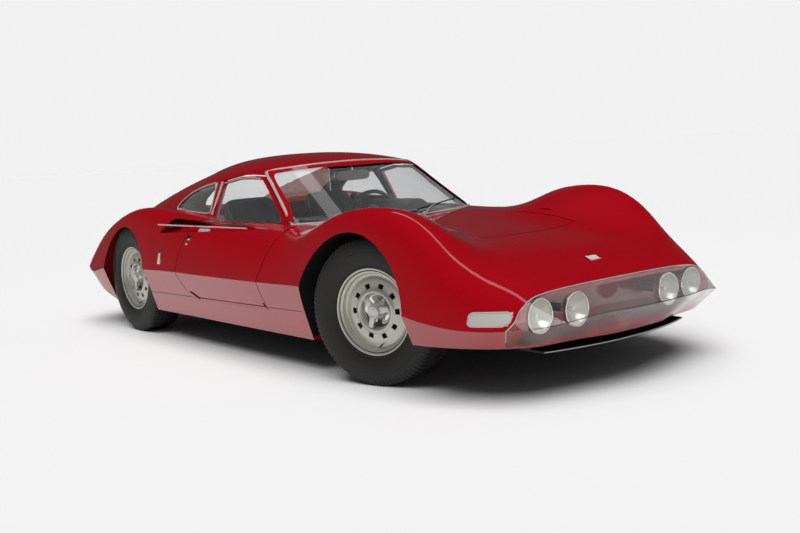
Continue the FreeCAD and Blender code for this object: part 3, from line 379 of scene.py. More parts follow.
def divided(corners: Sequence[Pair], spacing: float, least: int) -> list[Pair]:
    """A closed outline with each side divided into equal steps.

    Args:
        corners: The outline's corners.
        spacing: The longest step wished for.
        least: The fewest steps on a side.

    Returns:
        The corners and the places between them.
    """
    dense = []
    for (ax, az), (bx, bz) in zip(corners, [*corners[1:], corners[0]]):
        steps = max(least, int(math.hypot(bx - ax, bz - az) / spacing))
        dense += [(ax + (bx - ax) * i / steps, az + (bz - az) * i / steps) for i in range(steps)]
    return dense


def smooth_path(path: Sequence[Place], steps: int) -> list[Vector]:
    """Pass a soft curve through the points.

    Args:
        path: The points.
        steps: How many places between two points.

    Returns:
        The places along the curve.
    """
    path = [Vector(point) for point in path]
    points = [path[0] * 2 - path[1], *path, path[-1] * 2 - path[-2]]
    curve = []
    for a, b, c, d in zip(points, points[1:], points[2:], points[3:]):
        for step in range(steps):
            t = step / steps
            curve.append(0.5 * (2 * b + (c - a) * t + (2 * a - 5 * b + 4 * c - d) * t * t
                                + (3 * b - a - 3 * c + d) * t ** 3))
    return [*curve, path[-1].copy()]


def round_section(radius: float, sides: int = 10) -> list[Pair]:
    """A circle as a section."""
    turns = [math.tau * i / sides for i in range(sides)]
    return [(radius * math.cos(turn), radius * math.sin(turn)) for turn in turns]


def moulding_section(width: float, height: float) -> list[Pair]:
    """A low half-round moulding as a section."""
    half = width / 2
    return [(-half, -height), (-half, height * 0.25), (-half * 0.75, height * 0.75), (0.0, height),
            (half * 0.75, height * 0.75), (half, height * 0.25), (half, -height)]


def present(name: str, mesh: bpy.types.Mesh, body: str, replaced: Sequence[str] = (),
            place: Matrix | None = None) -> bpy.types.Object:
    """Show a mesh as a piece that rides on a body.

    Args:
        name: The object's name.
        mesh: The mesh, which several pieces may share.
        body: The CAD body that it moves with.
        replaced: CAD nodes that this piece stands for.
        place: Where to put it; the world's origin if None.

    Returns:
        The new object.
    """
    piece = bpy.data.objects.new(name, mesh)
    bpy.context.scene.collection.objects.link(piece)
    if place is not None:
        piece.matrix_world = place
    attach(piece, body)
    if replaced:
        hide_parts(*replaced)
    log.info("%s: %d faces on %s", name, len(mesh.polygons), body)
    return piece


class Skin:
    """Finds places on the surface of some CAD nodes, so that trim lies on the panels."""

    def __init__(self, nodes: dict[str, bpy.types.Object], names: Sequence[str]) -> None:
        """Gather some nodes' faces in one search tree.

        Args:
            nodes: The frame's nodes.
            names: Those whose surface counts.
        """
        corners: list[Vector] = []
        faces: list[tuple[int, ...]] = []
        for name in names:
            mesh = nodes[name].data
            first = len(corners)
            corners.extend(vertex.co.copy() for vertex in mesh.vertices)
            faces.extend(tuple(first + index for index in polygon.vertices) for polygon in mesh.polygons)
        self.tree = BVHTree.FromPolygons(corners, faces)

    def _hit(self, start: Vector, way: Vector) -> tuple[Vector, Vector]:
        """Look for the surface from a start.

        Args:
            start: Where the ray begins.
            way: Its direction.

        Returns:
            The first place met, and its normal turned back towards the start.
        """
        place, normal, _, _ = self.tree.ray_cast(start, way)
        if place is None:
            raise ValueError(f"no surface from {start} along {way}")
        return place, normal if normal.dot(way) < 0 else -normal

    def from_side(self, x: float, z: float, side: Side) -> tuple[Vector, Vector]:
        """The outermost place at x and z on one side, and its outward normal."""
        return self._hit(Vector((x, 2.0 * side.value, z)), Vector((0, -side.value, 0)))

    def from_above(self, x: float, y: float) -> tuple[Vector, Vector]:
        """The topmost place at x and y, and its upward normal."""
        return self._hit(Vector((x, y, 3.0)), -UP)

    def nearest(self, spot: Place) -> Vector:
        """The surface's nearest place."""
        return self.tree.find_nearest(Vector(spot))[0]


class Sculptor:
    """One mesh in the making, from lathed, swept and plate forms."""

    def __init__(self) -> None:
        """Start with nothing."""
        self.form = bmesh.new()

    def sweep(self, path: Sequence[Place], section: Sequence[Pair], normals: Vector | Sequence[Vector],
              material: int = 0, closed: bool = False) -> None:
        """Carry a section along a path.

        Args:
            path: The places along the way.
            section: Points across the path and out along the normal.
            normals: The outward direction, or one for each place.
            material: The material index.
            closed: Whether the end meets the start.
        """
        path = [Vector(place) for place in path]
        count = len(path)
        if isinstance(normals, Vector):
            normals = [normals] * count
        rings = []
        for i, (place, normal) in enumerate(zip(path, normals)):
            ahead = path[(i + 1) % count] if closed or i < count - 1 else path[i]
            behind = path[i - 1] if closed or i > 0 else path[i]
            along = (ahead - behind).normalized()
            across = along.cross(normal).normalized()
            out = across.cross(along).normalized()
            rings.append([self.form.verts.new(place + across * u + out * v) for u, v in section])
        pairs = list(zip(rings, rings[1:]))
        if closed:
            pairs.append((rings[-1], rings[0]))
        size = len(section)
        for first, second in pairs:
            for j in range(size):
                k = (j + 1) % size
                self.form.faces.new((first[j], first[k], second[k], second[j])).material_index = material
        if not closed:
            for ring in (rings[0], rings[-1]):
                self.form.faces.new(ring).material_index = material

    def lathe(self, profile: Sequence[Pair], count: int, place: Matrix | None = None,
              material: int | Callable[[int], int] = 0,
              shape: Callable[[int, float, float], float] | None = None,
              skip: Callable[[int, int], bool] | None = None) -> list[list[bmesh.types.BMVert]]:
        """Turn a profile about the Y axis.

        Args:
            profile: Points as y along the axis and radius.
            count: How many steps round.
            place: Moves the form to where it belongs.
            material: The material index, or one for each profile span.
            shape: Radius for a step, y and radius, where it varies round the axis.
            skip: True where a face is left out, by step and span.

        Returns:
            The rings of vertices, step by step.
        """
        rings = []
        for i in range(count):
            turn = math.tau * i / count
            ring = []
            for y, radius in profile:
                r = shape(i, y, radius) if shape else radius
                spot = Vector((r * math.cos(turn), y, r * math.sin(turn)))
                ring.append(self.form.verts.new(place @ spot if place else spot))
            rings.append(ring)
        for i in range(count):
            first, second = rings[i], rings[(i + 1) % count]
            for j in range(len(profile) - 1):
                if skip and skip(i, j):
                    continue
                face = self.form.faces.new((first[j], first[j + 1], second[j + 1], second[j]))
                face.material_index = material(j) if callable(material) else material
        return rings

    def plate(self, outline: Sequence[Vector], push: Vector, bevel: float, material: int = 0) -> None:
        """Draw an outline out into a plate with softened edges.

        Args:
            outline: The corners.
            push: Direction and thickness.
            bevel: How far the edges are softened.
            material: The material index.
        """
        base = [self.form.verts.new(corner) for corner in outline]
        top = [self.form.verts.new(corner + push) for corner in outline]
        faces = [self.form.faces.new(base), self.form.faces.new(list(reversed(top)))]
        count = len(outline)
        for i in range(count):
            j = (i + 1) % count
            faces.append(self.form.faces.new((base[i], base[j], top[j], top[i])))
        for face in faces:
            face.material_index = material
        if bevel > 0:
            edges = {edge for face in faces for edge in face.edges}
            made = bmesh.ops.bevel(self.form, geom=list(edges), offset=bevel, segments=2, profile=0.5,
                                   affect="EDGES", clamp_overlap=True)
            for face in made["faces"]:
                face.material_index = material

    def blank_plate(self, corners: Sequence[Vector], normal: Vector, frame_depth: float, bevel: float,
                    share: float, lift: float, enamel: float) -> None:
        """A thin frame with a plain inner plate just proud of it.

        Args:
            corners: The frame's outline.
            normal: The outward direction.
            frame_depth: The frame's thickness.
            bevel: How far its edges are softened.
            share: The inner plate's share of the frame's size.
            lift: From the frame's foot to the inner plate's foot.
            enamel: The inner plate's thickness.
        """
        self.plate(corners, normal * frame_depth, bevel)
        middle = sum(corners, Vector()) / len(corners)
        inner = [middle + (corner - middle) * share + normal * lift for corner in corners]
        self.plate(inner, normal * enamel, 0.0, material=1)

    def mesh(self, name: str, finishes: Sequence[Finish]) -> bpy.types.Mesh:
        """Turn the form into a smooth mesh with sharp edges kept by angle; the form ends here.

        Args:
            name: The mesh's name.
            finishes: The finishes by material index.

        Returns:
            The mesh.
        """
        bmesh.ops.recalc_face_normals(self.form, faces=self.form.faces)
        mesh = bpy.data.meshes.new(name)
        self.form.to_mesh(mesh)
        self.form.free()
        for polygon in mesh.polygons:
            polygon.use_smooth = True
        for finish in finishes:
            mesh.materials.append(finish.build())
        mesh.set_sharp_from_angle(angle=math.radians(SHARP_DEG))
        return mesh

    def deliver(self, name: str, finishes: Sequence[Finish], body: str,
                replaced: Sequence[str] = ()) -> bpy.types.Object:
        """Turn the form into a shown piece; the arguments are those of mesh and present."""
        return present(name, self.mesh(name, finishes), body, replaced)


def strip(name: str, path: Sequence[Place], section: Sequence[Pair], normals: Vector | Sequence[Vector],
          body: str = "car_body", closed: bool = False) -> None:
    """Make a piece of bright trim that is one swept section.

    Args:
        name: The piece's name.
        path: The places along the way.
        section: Points across the path and out along the normal.
        normals: The outward direction, or one for each place.
        body: The CAD body that it moves with.
        closed: Whether the end meets the start.
    """
    piece = Sculptor()
    piece.sweep(path, section, normals, closed=closed)
    piece.deliver(name, (BRIGHT_TRIM,), body)


@dataclass
class Studio:
    """Pale floor, soft light and the camera at the photograph's viewing angle."""

    focal_px: float = 997.65
    photo_width_px: float = 800.0
    sensor_mm: float = 36.0
    view_reach: float = 400.0
    eye: Point = (4.3892, -3.2251, 1.0056)
    azimuth_deg: float = 141.343
    elevation_deg: float = -6.842
    roll_deg: float = -3.479
    floor_half: float = 150.0
    pale: Colour = (0.885, 0.885, 0.890)
    fill: Colour = (0.14, 0.14, 0.145)
    gloss_low: Colour = (0.060, 0.060, 0.064)
    gloss_high: Colour = (0.012, 0.012, 0.013)
    sky_way: Point = (0.20, -0.22, 1.0)
    sky_energy: float = 3.15
    sky_angle_deg: float = 58.0
    box_place: Point = (0.4, 0.9, 5.0)
    box_aim: Point = (0.2, 0.0, 0.5)
    box_size: Pair = (6.0, 0.5)
    box_power: float = 10.0

    def build(self) -> None:
        """Make floor, world, lamps and camera."""
        self._floor()
        self._world()
        self._sky()
        self._softbox()
        self._camera()

    @staticmethod
    def _show(name: str, data: bpy.types.ID) -> bpy.types.Object:
        """Put a new object into the scene.

        Args:
            name: The object's name.
            data: Its mesh, light or camera.

        Returns:
            The object.
        """
        thing = bpy.data.objects.new(name, data)
        bpy.context.scene.collection.objects.link(thing)
        return thing

    def _camera(self) -> None:
        """Aim the camera as the photograph was taken."""
        angles = (self.azimuth_deg, self.elevation_deg, self.roll_deg)
        azimuth, elevation, roll = (math.radians(angle) for angle in angles)
        look = Vector((math.cos(azimuth) * math.cos(elevation), math.sin(azimuth) * math.cos(elevation),
                       math.sin(elevation)))
        right = look.cross(UP).normalized()
        up = right.cross(look)
        tilted_right = right * math.cos(roll) + up * math.sin(roll)
        tilted_up = up * math.cos(roll) - right * math.sin(roll)
        data = bpy.data.cameras.new("camera")
        data.sensor_width = self.sensor_mm
        data.lens = self.focal_px / self.photo_width_px * self.sensor_mm
        data.clip_end = self.view_reach
        camera = self._show("camera", data)
        rows = Matrix((tilted_right, tilted_up, -look)).transposed().to_4x4()
        camera.matrix_world = Matrix.Translation(Vector(self.eye)) @ rows
        bpy.context.scene.camera = camera

    def _floor(self) -> None:
        """Lay a large pale floor at ground level."""
        half = self.floor_half
        mesh = bpy.data.meshes.new("floor")
        mesh.from_pydata([(-half, -half, 0), (half, -half, 0), (half, half, 0), (-half, half, 0)], [],
                         [(0, 1, 2, 3)])
        mesh.materials.append(PALE_FLOOR.build())
        self._show("floor", mesh)

    def _world(self) -> None:
        """Surroundings: pale to the camera, nearly black in gloss and a weak fill for everything else."""
        world = bpy.data.worlds.new("surroundings")
        world.use_nodes = True
        bpy.context.scene.world = world
        graph = Graph(world.node_tree)
        around = graph.feed(graph.tree.nodes["Background"], {"Strength": 1.0, "Color": (*self.fill, 1.0)})
        split = graph.feed(graph.add("SeparateXYZ"), {0: graph.add("TexCoord").outputs["Generated"]})
        ramp = graph.feed(graph.add("ValToRGB"), {"Fac": split.outputs[2]})
        stops = ((0.0, self.gloss_low), (0.5, self.gloss_high))
        for element, (position, colour) in zip(ramp.color_ramp.elements, stops):
            element.position = position
            element.color = (*colour, 1.0)
        mirrored_world = graph.feed(graph.add("Background"), {"Color": ramp.outputs["Color"]})
        shown = graph.feed(graph.add("Background"), {"Color": (*self.pale, 1.0)})
        path = graph.add("LightPath").outputs
        seen = graph.math("MAXIMUM", path["Is Camera Ray"], path["Is Transmission Ray"])
        inner = graph.feed(graph.add("MixShader"), {
            0: path["Is Glossy Ray"], 1: around.outputs[0], 2: mirrored_world.outputs[0]})
        outer = graph.feed(graph.add("MixShader"), {0: seen, 1: inner.outputs[0], 2: shown.outputs[0]})
        graph.feed(graph.tree.nodes["World Output"], {"Surface": outer.outputs[0]})

    def _sky(self) -> None:
        """A very wide overhead light for even floor and soft shadow."""
        data = bpy.data.lights.new("sky_light", "SUN")
        data.energy = self.sky_energy
        data.angle = math.radians(self.sky_angle_deg)
        sky = self._show("sky_light", data)
        sky.rotation_euler = (-Vector(self.sky_way)).to_track_quat("-Z", "Y").to_euler()
        sky.visible_glossy = False

    def _softbox(self) -> None:
        """A long softbox overhead for highlights."""
        data = bpy.data.lights.new("top_box", "AREA")
        data.shape = "RECTANGLE"
        data.size, data.size_y = self.box_size
        data.energy = self.box_power
        lamp = self._show("top_box", data)
        lamp.location = self.box_place
        beam = Vector(self.box_aim) - Vector(self.box_place)
        lamp.rotation_euler = beam.to_track_quat("-Z", "Y").to_euler()


@dataclass
class Bodywork:
    """The car's CAD nodes, each dressed with the finish of its material slot."""

    nodes: dict[str, bpy.types.Object]
    slots: dict[str, str]

    def build(self) -> None:
        """Give every CAD node its finish."""
        for name, node in self.nodes.items():
            node.data.materials.clear()
            node.data.materials.append(Slot[self.slots[name]].value.build())
        log.info("dressed %d nodes", len(self.nodes))


@dataclass
class RoadWheel:
    """Pressed steel wheel with an eared spinner, and its tyre, made once and placed four times."""

    axle_z: float = 0.320
    front_x: float = 1.030
    rear_x: float = -1.250
    front_y: float = 0.652
    rear_y: float = 0.674
    pin_y: float = 0.622
    steer_deg: float = 17.3
    face_y: float = -0.082
    steps: int = 200
    hole_count: int = 10
    hole_steps: int = 7
    hole_depth: float = 0.006
    hole_inner_mm: float = 100.0
    hole_outer_mm: float = 121.0
    recess_mm: float = 72.0
    lug_count: int = 92
    ear_first_deg: float = 130.0

    def build(self) -> None:
        """Make the shared meshes and place them on the four wheels' bodies."""
        rim = self._rim()
        tyre = self._tyre()
        for side in Side:
            for end in ("front", "rear"):
                label = f"{end}_{side.name}"
                body = f"wheel_{label}"
                place = self._place(end, side)
                present(f"road_wheel_{label}", rim, body, [f"rim_{label}"], place)
                present(f"road_tyre_{label}", tyre, body, [f"tyre_{label}"], place)

    def _place(self, end: str, side: Side) -> Matrix:
        """Where a wheel stands: turned half round for the left side, and steered at the front.

        Args:
            end: Front or rear.
            side: Which side of the car.

        Returns:
            The wheel's place in the world.
        """
        turn = Matrix.Rotation(math.pi, 4, "Z") if side is Side.left else Matrix.Identity(4)
        if end == "rear":
            return Matrix.Translation((self.rear_x, side.value * self.rear_y, self.axle_z)) @ turn
        pin = Vector((self.front_x, side.value * self.pin_y, 0.0))
        steer = Matrix.Translation(pin) @ Matrix.Rotation(math.radians(self.steer_deg), 4, "Z")
        return (steer @ Matrix.Translation(-pin)
                @ Matrix.Translation((self.front_x, side.value * self.front_y, self.axle_z)) @ turn)

    def _behind(self, depth: float) -> float:
        """Depth in millimetres behind the wheel's outer face as y in metres."""
        return self.face_y + depth / 1000

    def _profile(self, points: Sequence[Pair]) -> list[Pair]:
        """Depths and radii in millimetres as a profile in metres."""
        return [(self._behind(depth), radius / 1000) for depth, radius in points]

    def _rim(self) -> bpy.types.Mesh:
        """Rim, holed disc, hub recess, hub, spinner and valve.

        Returns:
            One mesh of them all.
        """
        piece = Sculptor()
        face = [(1.5, 188), (0.3, 187), (0.0, 184), (1.5, 180.5), (6.0, 178.5), (9.5, 176), (11.5, 172),
                (12.0, 168.5), (14.0, 166), (20, 165), (27, 163.5), (31, 161), (33.5, 157), (34.5, 152),
                (33.5, 147), (31.5, 141), (30, 134), (29, 126), (28.2, 121), (26.8, 110), (25.2, 99.5),
                (23.4, 96), (20.5, 91), (18.5, 86.5), (18.6, 81.5), (21.5, 77), (28, 73.5), (38, 71.5),
                (47, 69), (50.5, 64), (51.5, 50), (51.5, 36)]
        pitch = self.steps // self.hole_count
        holed = [j for j, (_, radius) in enumerate(face) if self.hole_inner_mm < radius <= self.hole_outer_mm]

        def is_hole(step: int, span: int) -> bool:
            """Whether this face lies in a hole."""
            return span in holed and (step + self.hole_steps // 2) % pitch < self.hole_steps

        def part(span: int) -> int:
            """Bright metal in the hub recess, wheel silver outside it."""
            return 1 if face[span][1] < self.recess_mm else 0

        rings = piece.lathe(self._profile(face), self.steps, material=part, skip=is_hole)
        rim_verts = {v for ring in rings for v in ring[holed[0]:holed[-1] + 2]}
        open_edges = [e for e in piece.form.edges if len(e.link_faces) == 1 and rim_verts.issuperset(e.verts)]
        made = bmesh.ops.extrude_edge_only(piece.form, edges=open_edges)
        for vert in (g for g in made["geom"] if isinstance(g, bmesh.types.BMVert)):
            vert.co.y += self.hole_depth
        barrel = [(1.5, 188), (5, 186), (10, 176), (16, 171), (40, 158), (60, 154), (112, 154), (138, 166),
                  (152, 176), (160, 184), (164, 187), (164, 183), (156, 172), (140, 160), (112, 148),
                  (60, 148), (40, 150), (35, 152)]
        back = [(70, 20), (70, 132), (82, 132), (82, 20)]
        hub = [(51.5, 40), (46, 36), (30, 34), (26, 33), (24, 31.5), (12, 31), (5, 30), (2.2, 27.5), (1.0, 23),
               (1.2, 20.5), (3.0, 18.5), (2.6, 12), (2.2, 6), (2.1, 0.0)]
        piece.lathe(self._profile(barrel), 80)
        piece.lathe(self._profile(back), 48, material=2)
        piece.lathe(self._profile(hub), 48, material=3)
        self._ears(piece)
        stem = [(0.02, self._behind(30), -0.143), (0.021, self._behind(16), -0.149),
                (0.022, self._behind(6), -0.152)]
        piece.sweep(stem, round_section(0.0032, 8), AHEAD, material=2)
        return piece.mesh("road_wheel", (WHEEL_SILVER, CHROME, DARK_STEEL, SATIN_CHROME))

    def _ears(self, piece: Sculptor) -> None:
        """The spinner's three ears.

        Args:
            piece: Receives them.
        """
        ear = [(22, -14), (36, -10), (52, -10.5), (64, -13), (71, -11), (75, -5), (75, 5), (71, 11), (64, 13),
               (52, 10.5), (36, 10), (22, 14)]
        for index in range(3):
            turn = math.radians(self.ear_first_deg + 120.0 * index)
            along = Vector((math.cos(turn), 0.0, math.sin(turn)))
            across = Vector((-math.sin(turn), 0.0, math.cos(turn)))
            corners = [along * (u / 1000) + across * (v / 1000) + LEFT * self._behind(7 + u * 0.10)
                       for u, v in ear]
            piece.plate(corners, LEFT * 0.015, 0.0035, material=3)

    def _tyre(self) -> bpy.types.Mesh:
        """Tyre with ribbed walls, slotted shoulders and grooved tread.

        Returns:
            The mesh.
        """
        wall = [(75.3, 174.3), (75.3, 188.6), (80, 189.2), (84, 191), (85.5, 195), (85.2, 199), (87, 201),
                (88.5, 206), (91, 216), (93.5, 229), (95.3, 243), (95.8, 255), (95.6, 257.5), (94.8, 259),
                (95.2, 261), (94.4, 271), (92.2, 283), (90.6, 290), (89.8, 292), (88.2, 299), (85.4, 306),
                (82, 311.5), (77.5, 315.5), (72, 318)]
        tread = [(66, 318.9), (56, 319.4), (55, 313), (49, 313), (48, 319.6), (32, 319.8), (31, 313.5),
                 (25, 313.5), (24, 320), (4, 320), (3, 314), (0, 314)]
        half = [(-y, r) for y, r in [*wall, *tread]]
        inner = [(70, 186), (84, 220), (88, 256), (82, 290), (70, 304), (0, 306)]
        loop = []
        for side in (half, inner):
            loop += [*side, *[(-y, r) for y, r in reversed(side[:-1])]]
        profile = [(y / 1000, r / 1000) for y, r in [*loop, loop[0]]]
        shoulder_y, wall_y, shoulder_r, tread_r = 0.0555, 0.0915, 0.2915, 0.318
        slot_depth, sipe_depth, sipe_y = 0.0065, 0.003, 0.02

        def lugged(step: int, y: float, radius: float) -> float:
            """Cut slots across the shoulders, and finer ones across the middle.

            Args:
                step: Which step round the tyre.
                y: The place along the axle.
                radius: The uncut radius.

            Returns:
                The radius there.
            """
            if shoulder_y < abs(y) < wall_y and radius > shoulder_r and step % 4 == 0:
                return radius - slot_depth
            if sipe_y < abs(y) <= shoulder_y and radius > tread_r and step % 4 == 2:
                return radius - sipe_depth
            return radius

        piece = Sculptor()
        piece.lathe(profile, self.lug_count * 4, shape=lugged)
        return piece.mesh("road_tyre", (TYRE_RUBBER,))


@dataclass
class Nose:
    """Headlamps behind the clear cover, cover edging, marker bezels, front lip edge and a blank plate."""

    skin: Skin
    cover: Skin
    lamps: tuple[Pair, ...] = ((1.787, 0.480), (1.807, 0.293))
    lamp_z: float = 0.334
    lamp_radius: float = 0.066
    marker_x: Pair = (1.643, 1.777)
    marker_z: Pair = (0.317, 0.367)
    lip_centre_x: float = 0.4405
    lip_radius: float = 1.4
    lip_half: float = 0.442
    lip_z: float = 0.1825

    def build(self) -> None:
        """Make every piece of the nose."""
        self._headlamps()
        self._cover_edging()
        self._marker_bezels()
        self._lip_edge()
        self._badge_plate()

    def _headlamps(self) -> None:
        """Four round lamps: chrome ring, faceted bowl, bulb shield and domed front glass."""
        bowls = Sculptor()
        glasses = Sculptor()
        radius = self.lamp_radius
        bowl = [(-0.046, 0.010), (-0.043, 0.020), (-0.036, 0.031), (-0.027, 0.042), (-0.016, 0.052),
                (-0.004, 0.060), (0.002, radius - 0.003)]
        ring = [(0.002, radius - 0.003), (0.007, radius - 0.0025), (0.009, radius), (0.007, radius + 0.0025),
                (0.0, radius + 0.003), (-0.012, radius + 0.002), (-0.03, radius * 0.85), (-0.055, 0.03),
                (-0.058, 0.001)]
        shield = [(-0.046, 0.010), (-0.018, 0.010), (-0.012, 0.008), (-0.0095, 0.004), (-0.009, 0.0)]
        domed = [(0.0060 + 0.007 * (1 - (r / 12) ** 2), (radius - 0.003) * r / 12) for r in range(13)]
        sheet = [*domed, *[(depth - 0.003, r) for depth, r in reversed(domed)]]

        def faceted(step: int, y: float, r: float) -> float:
            """Draw the bowl in shallow radial facets."""
            return r * (1.0 + 0.012 * math.cos(step * math.tau / 8)) if 0.012 < r < 0.058 else r

        for side in Side:
            for x, y in self.lamps:
                spot = Matrix.Translation((x, side.value * y, self.lamp_z)) @ FACE_FORWARD
                bowls.lathe(bowl, 96, spot, material=1, shape=faceted)
                bowls.lathe(ring, 64, spot)
                bowls.lathe(shield, 24, spot)
                stalk = [spot @ Vector((0, -0.05, 0)), spot @ Vector((0, -0.14, 0))]
                bowls.sweep(stalk, round_section(0.018, 16), UP, material=2)
                glasses.lathe(sheet, 48, spot)
        bmesh.ops.remove_doubles(glasses.form, verts=glasses.form.verts, dist=1e-6)
        bowls.deliver("headlamp_bowls", (CHROME, LAMP_SILVER, BLACK_TRIM_AND_GAP_SHADE), "car_body",
                      ["headlamps"])
        glasses.deliver("headlamp_glasses", (LAMP_GLASS,), "car_body")

    def _cover_edging(self) -> None:
        """A thin pale line along the cover's rear edge and down its ends."""
        end = [(1.734, -0.66, 0.232), (1.752, -0.68, 0.262), (1.772, -0.70, 0.295), (1.790, -0.70, 0.327),
               (1.787, -0.66, 0.360), (1.784, -0.60, 0.385)]
        edge = [(1.782, y, 0.50) for y in evenly(-0.55, 0.55, 12)]
        path = [*end, *edge, *reversed(mirrored(end))]
        line = smooth_path([self.cover.nearest(p) for p in path], 4)
        corner_y = 0.45
        normals = [Vector((0.35, 0.6 * ((p.y > corner_y) - (p.y < -corner_y)), 0.8)).normalized()
                   for p in line]
        strip("cover_edging", line, round_section(0.0019, 8), normals)

    def _marker_bezels(self) -> None:
        """Chrome bezels with cut corners round the two lamps ahead of the front arches."""
        (x0, x1), (z0, z1) = self.marker_x, self.marker_z
        outline = [(x0, z0 + 0.010), (x0 + 0.012, z0), (x1 - 0.018, z0), (x1, z0 + 0.014), (x1, z1 - 0.014),
                   (x1 - 0.018, z1), (x0 + 0.012, z1), (x0, z1 - 0.010)]
        piece = Sculptor()
        for side in Side:
            dense = divided(outline, math.inf, 5)
            places, normals = zip(*[self.skin.from_side(x, z, side) for x, z in dense])
            piece.sweep(places, moulding_section(0.0065, 0.0028), normals, closed=True)
        piece.deliver("marker_bezels", (BRIGHT_TRIM,), "car_body")

    def _lip_edge(self) -> None:
        """The bright front edge of the plate under the mouth."""
        path = [(self.lip_centre_x + math.sqrt(self.lip_radius ** 2 - y * y), y, self.lip_z)
                for y in evenly(-self.lip_half, self.lip_half, 33)]
        strip("lip_edge", path, round_section(0.0026, 8), UP)

    def _badge_plate(self) -> None:
        """A blank pale plate in a thin frame on the nose."""
        places = ((1.634, -0.036), (1.669, -0.036), (1.669, 0.036), (1.634, 0.036))
        hits = [self.skin.from_above(x, y) for x, y in places]
        piece = Sculptor()
        piece.blank_plate([place - normal * SUNK for place, normal in hits], hits[-1][1], frame_depth=0.0035,
                          bevel=0.001, share=0.86, lift=0.0036, enamel=0.0006)
        piece.deliver("nose_plate", (CHROME, PALE_ENAMEL), "car_body")


@dataclass
class SideTrim:
    """Sill lips, groove bars, door handles, lock rings and the small blank plates behind the doors."""

    skin: Skin
    lip_x: Pair = (-0.352, 0.318)
    lip_y: float = 0.7935
    lip_z: float = 0.2757
    lip_slope: float = 0.0155
    seam_z: float = 0.2825
    seam_spans: tuple[Pair, ...] = ((-0.940, -0.395), (0.345, 0.690))
    bar_tip: Point = (0.150, 0.662, 0.6405)
    bar_tail: Point = (-0.827, 0.770, 0.652)
    bar_door_x: Pair = (-0.010, -0.462)
    bar_gap: float = 0.012
    plate_x: float = -0.748
    plate_z: float = 0.473

    def build(self) -> None:
        """Make the trim of both sides."""
        for side in Side:
            self._lip(side)
            self._bar(side)
            self._handle(side)
            self._lock(side)
            self._plate(side)

    def _lip(self, side: Side) -> None:
        """A painted lip on the sill under the door, and a thin black moulding that carries its gap on to the
        arches as painted shade: its black draws the dark line of the seam, which is shade inside the gap.

        Args:
            side: Which side of the car.
        """
        piece = Sculptor()
        path = [(x, side.value * self.lip_y, self.lip_z + self.lip_slope * x)
                for x in evenly(*self.lip_x, 13)]
        section = [(-0.005, -0.006), (0.005, -0.006), (0.005, 0.0), (-0.005, 0.0)]
        piece.sweep(path, section, Vector((0, side.value, -0.25)).normalized())
        for span in self.seam_spans:
            places, normals = zip(*[self.skin.from_side(x, self.seam_z + self.lip_slope * x, side)
                                    for x in evenly(*span, 13)])
            # The seam moulding's black is painted shade: it draws the gap's dark line, which is shade inside
            # the gap
            piece.sweep(places, moulding_section(0.0035, 0.0006), normals, material=1)
        piece.deliver(f"sill_lip_{side.name}", (RED_PAINT, BLACK_TRIM_AND_GAP_SHADE), "car_body")

    def _bar(self, side: Side) -> None:
        """The thin bar across the groove, split where the door ends.

        Args:
            side: Which side of the car.
        """
        tip, tail = Vector(self.bar_tip), Vector(self.bar_tail)
        for name, body, span in (("door_bar", f"door_{side.name}_body", self.bar_door_x),
                                 ("body_bar", "car_body", (self.bar_door_x[1] - self.bar_gap, tail.x))):
            path = [tip.lerp(tail, (tip.x - x) / (tip.x - tail.x)) for x in evenly(*span, 13)]
            strip(f"{name}_{side.name}", [(x, side.value * y, z) for x, y, z in path], round_section(0.0042),
                  LEFT * side.value, body)

    def _handle(self, side: Side) -> None:
        """A flat paddle under the bar, on a short stem.

        Args:
            side: Which side of the car.
        """
        piece = Sculptor()
        y = side.value
        outline = [(-0.425, 0.6225), (-0.418, 0.617), (-0.335, 0.6175), (-0.322, 0.622), (-0.322, 0.629),
                   (-0.335, 0.6335), (-0.418, 0.6345), (-0.425, 0.630)]
        corners = [Vector((x, y * (0.727 + (x + 0.37) * -0.10 - (z - 0.62) * 0.8), z)) for x, z in outline]
        piece.plate(corners, Vector((0, y * 0.006, 0.003)), 0.0018)
        piece.sweep([(-0.405, y * 0.69, 0.624), (-0.405, y * 0.728, 0.626)], round_section(0.006, 12), AHEAD)
        piece.deliver(f"door_handle_{side.name}", (BRIGHT_TRIM,), f"door_{side.name}_body")

    def _lock(self, side: Side) -> None:
        """A lock ring with a dark centre and the small round cover hanging below it.

        Args:
            side: Which side of the car.
        """
        piece = Sculptor()
        for x, z, radius, centre in ((-0.468, 0.590, 0.0165, 1), (-0.474, 0.560, 0.0095, 0)):
            place, normal = self.skin.from_side(x, z, side)
            spot = Matrix.Translation(place) @ LEFT.rotation_difference(normal).to_matrix().to_4x4()
            dome = [(-0.002, radius), (0.004, radius), (0.0065, radius * 0.86), (0.0065, radius * 0.62)]
            piece.lathe(dome, 32, spot)
            piece.lathe([dome[-1], (0.0035, radius * 0.55), (0.004, 0.0)], 32, spot, material=centre)
        piece.deliver(f"door_lock_{side.name}", (CHROME, BLACK_TRIM_AND_GAP_SHADE), f"door_{side.name}_body")

    def _plate(self, side: Side) -> None:
        """A small blank upright plate behind the door.

        Args:
            side: Which side of the car.
        """
        outline = [(-0.011, -0.034), (0.011, -0.034), (0.0155, -0.026), (0.0155, 0.026), (0.011, 0.034),
                   (-0.011, 0.034), (-0.0155, 0.026), (-0.0155, -0.026)]
        hits = [self.skin.from_side(self.plate_x + u, self.plate_z + v, side) for u, v in outline]
        normal = hits[0][1]
        piece = Sculptor()
        piece.blank_plate([place - normal * SUNK for place, _ in hits], normal, frame_depth=0.0045,
                          bevel=0.0012, share=0.78, lift=0.0042, enamel=0.0008)
        piece.deliver(f"side_plate_{side.name}", (CHROME, PALE_ENAMEL), "car_body")


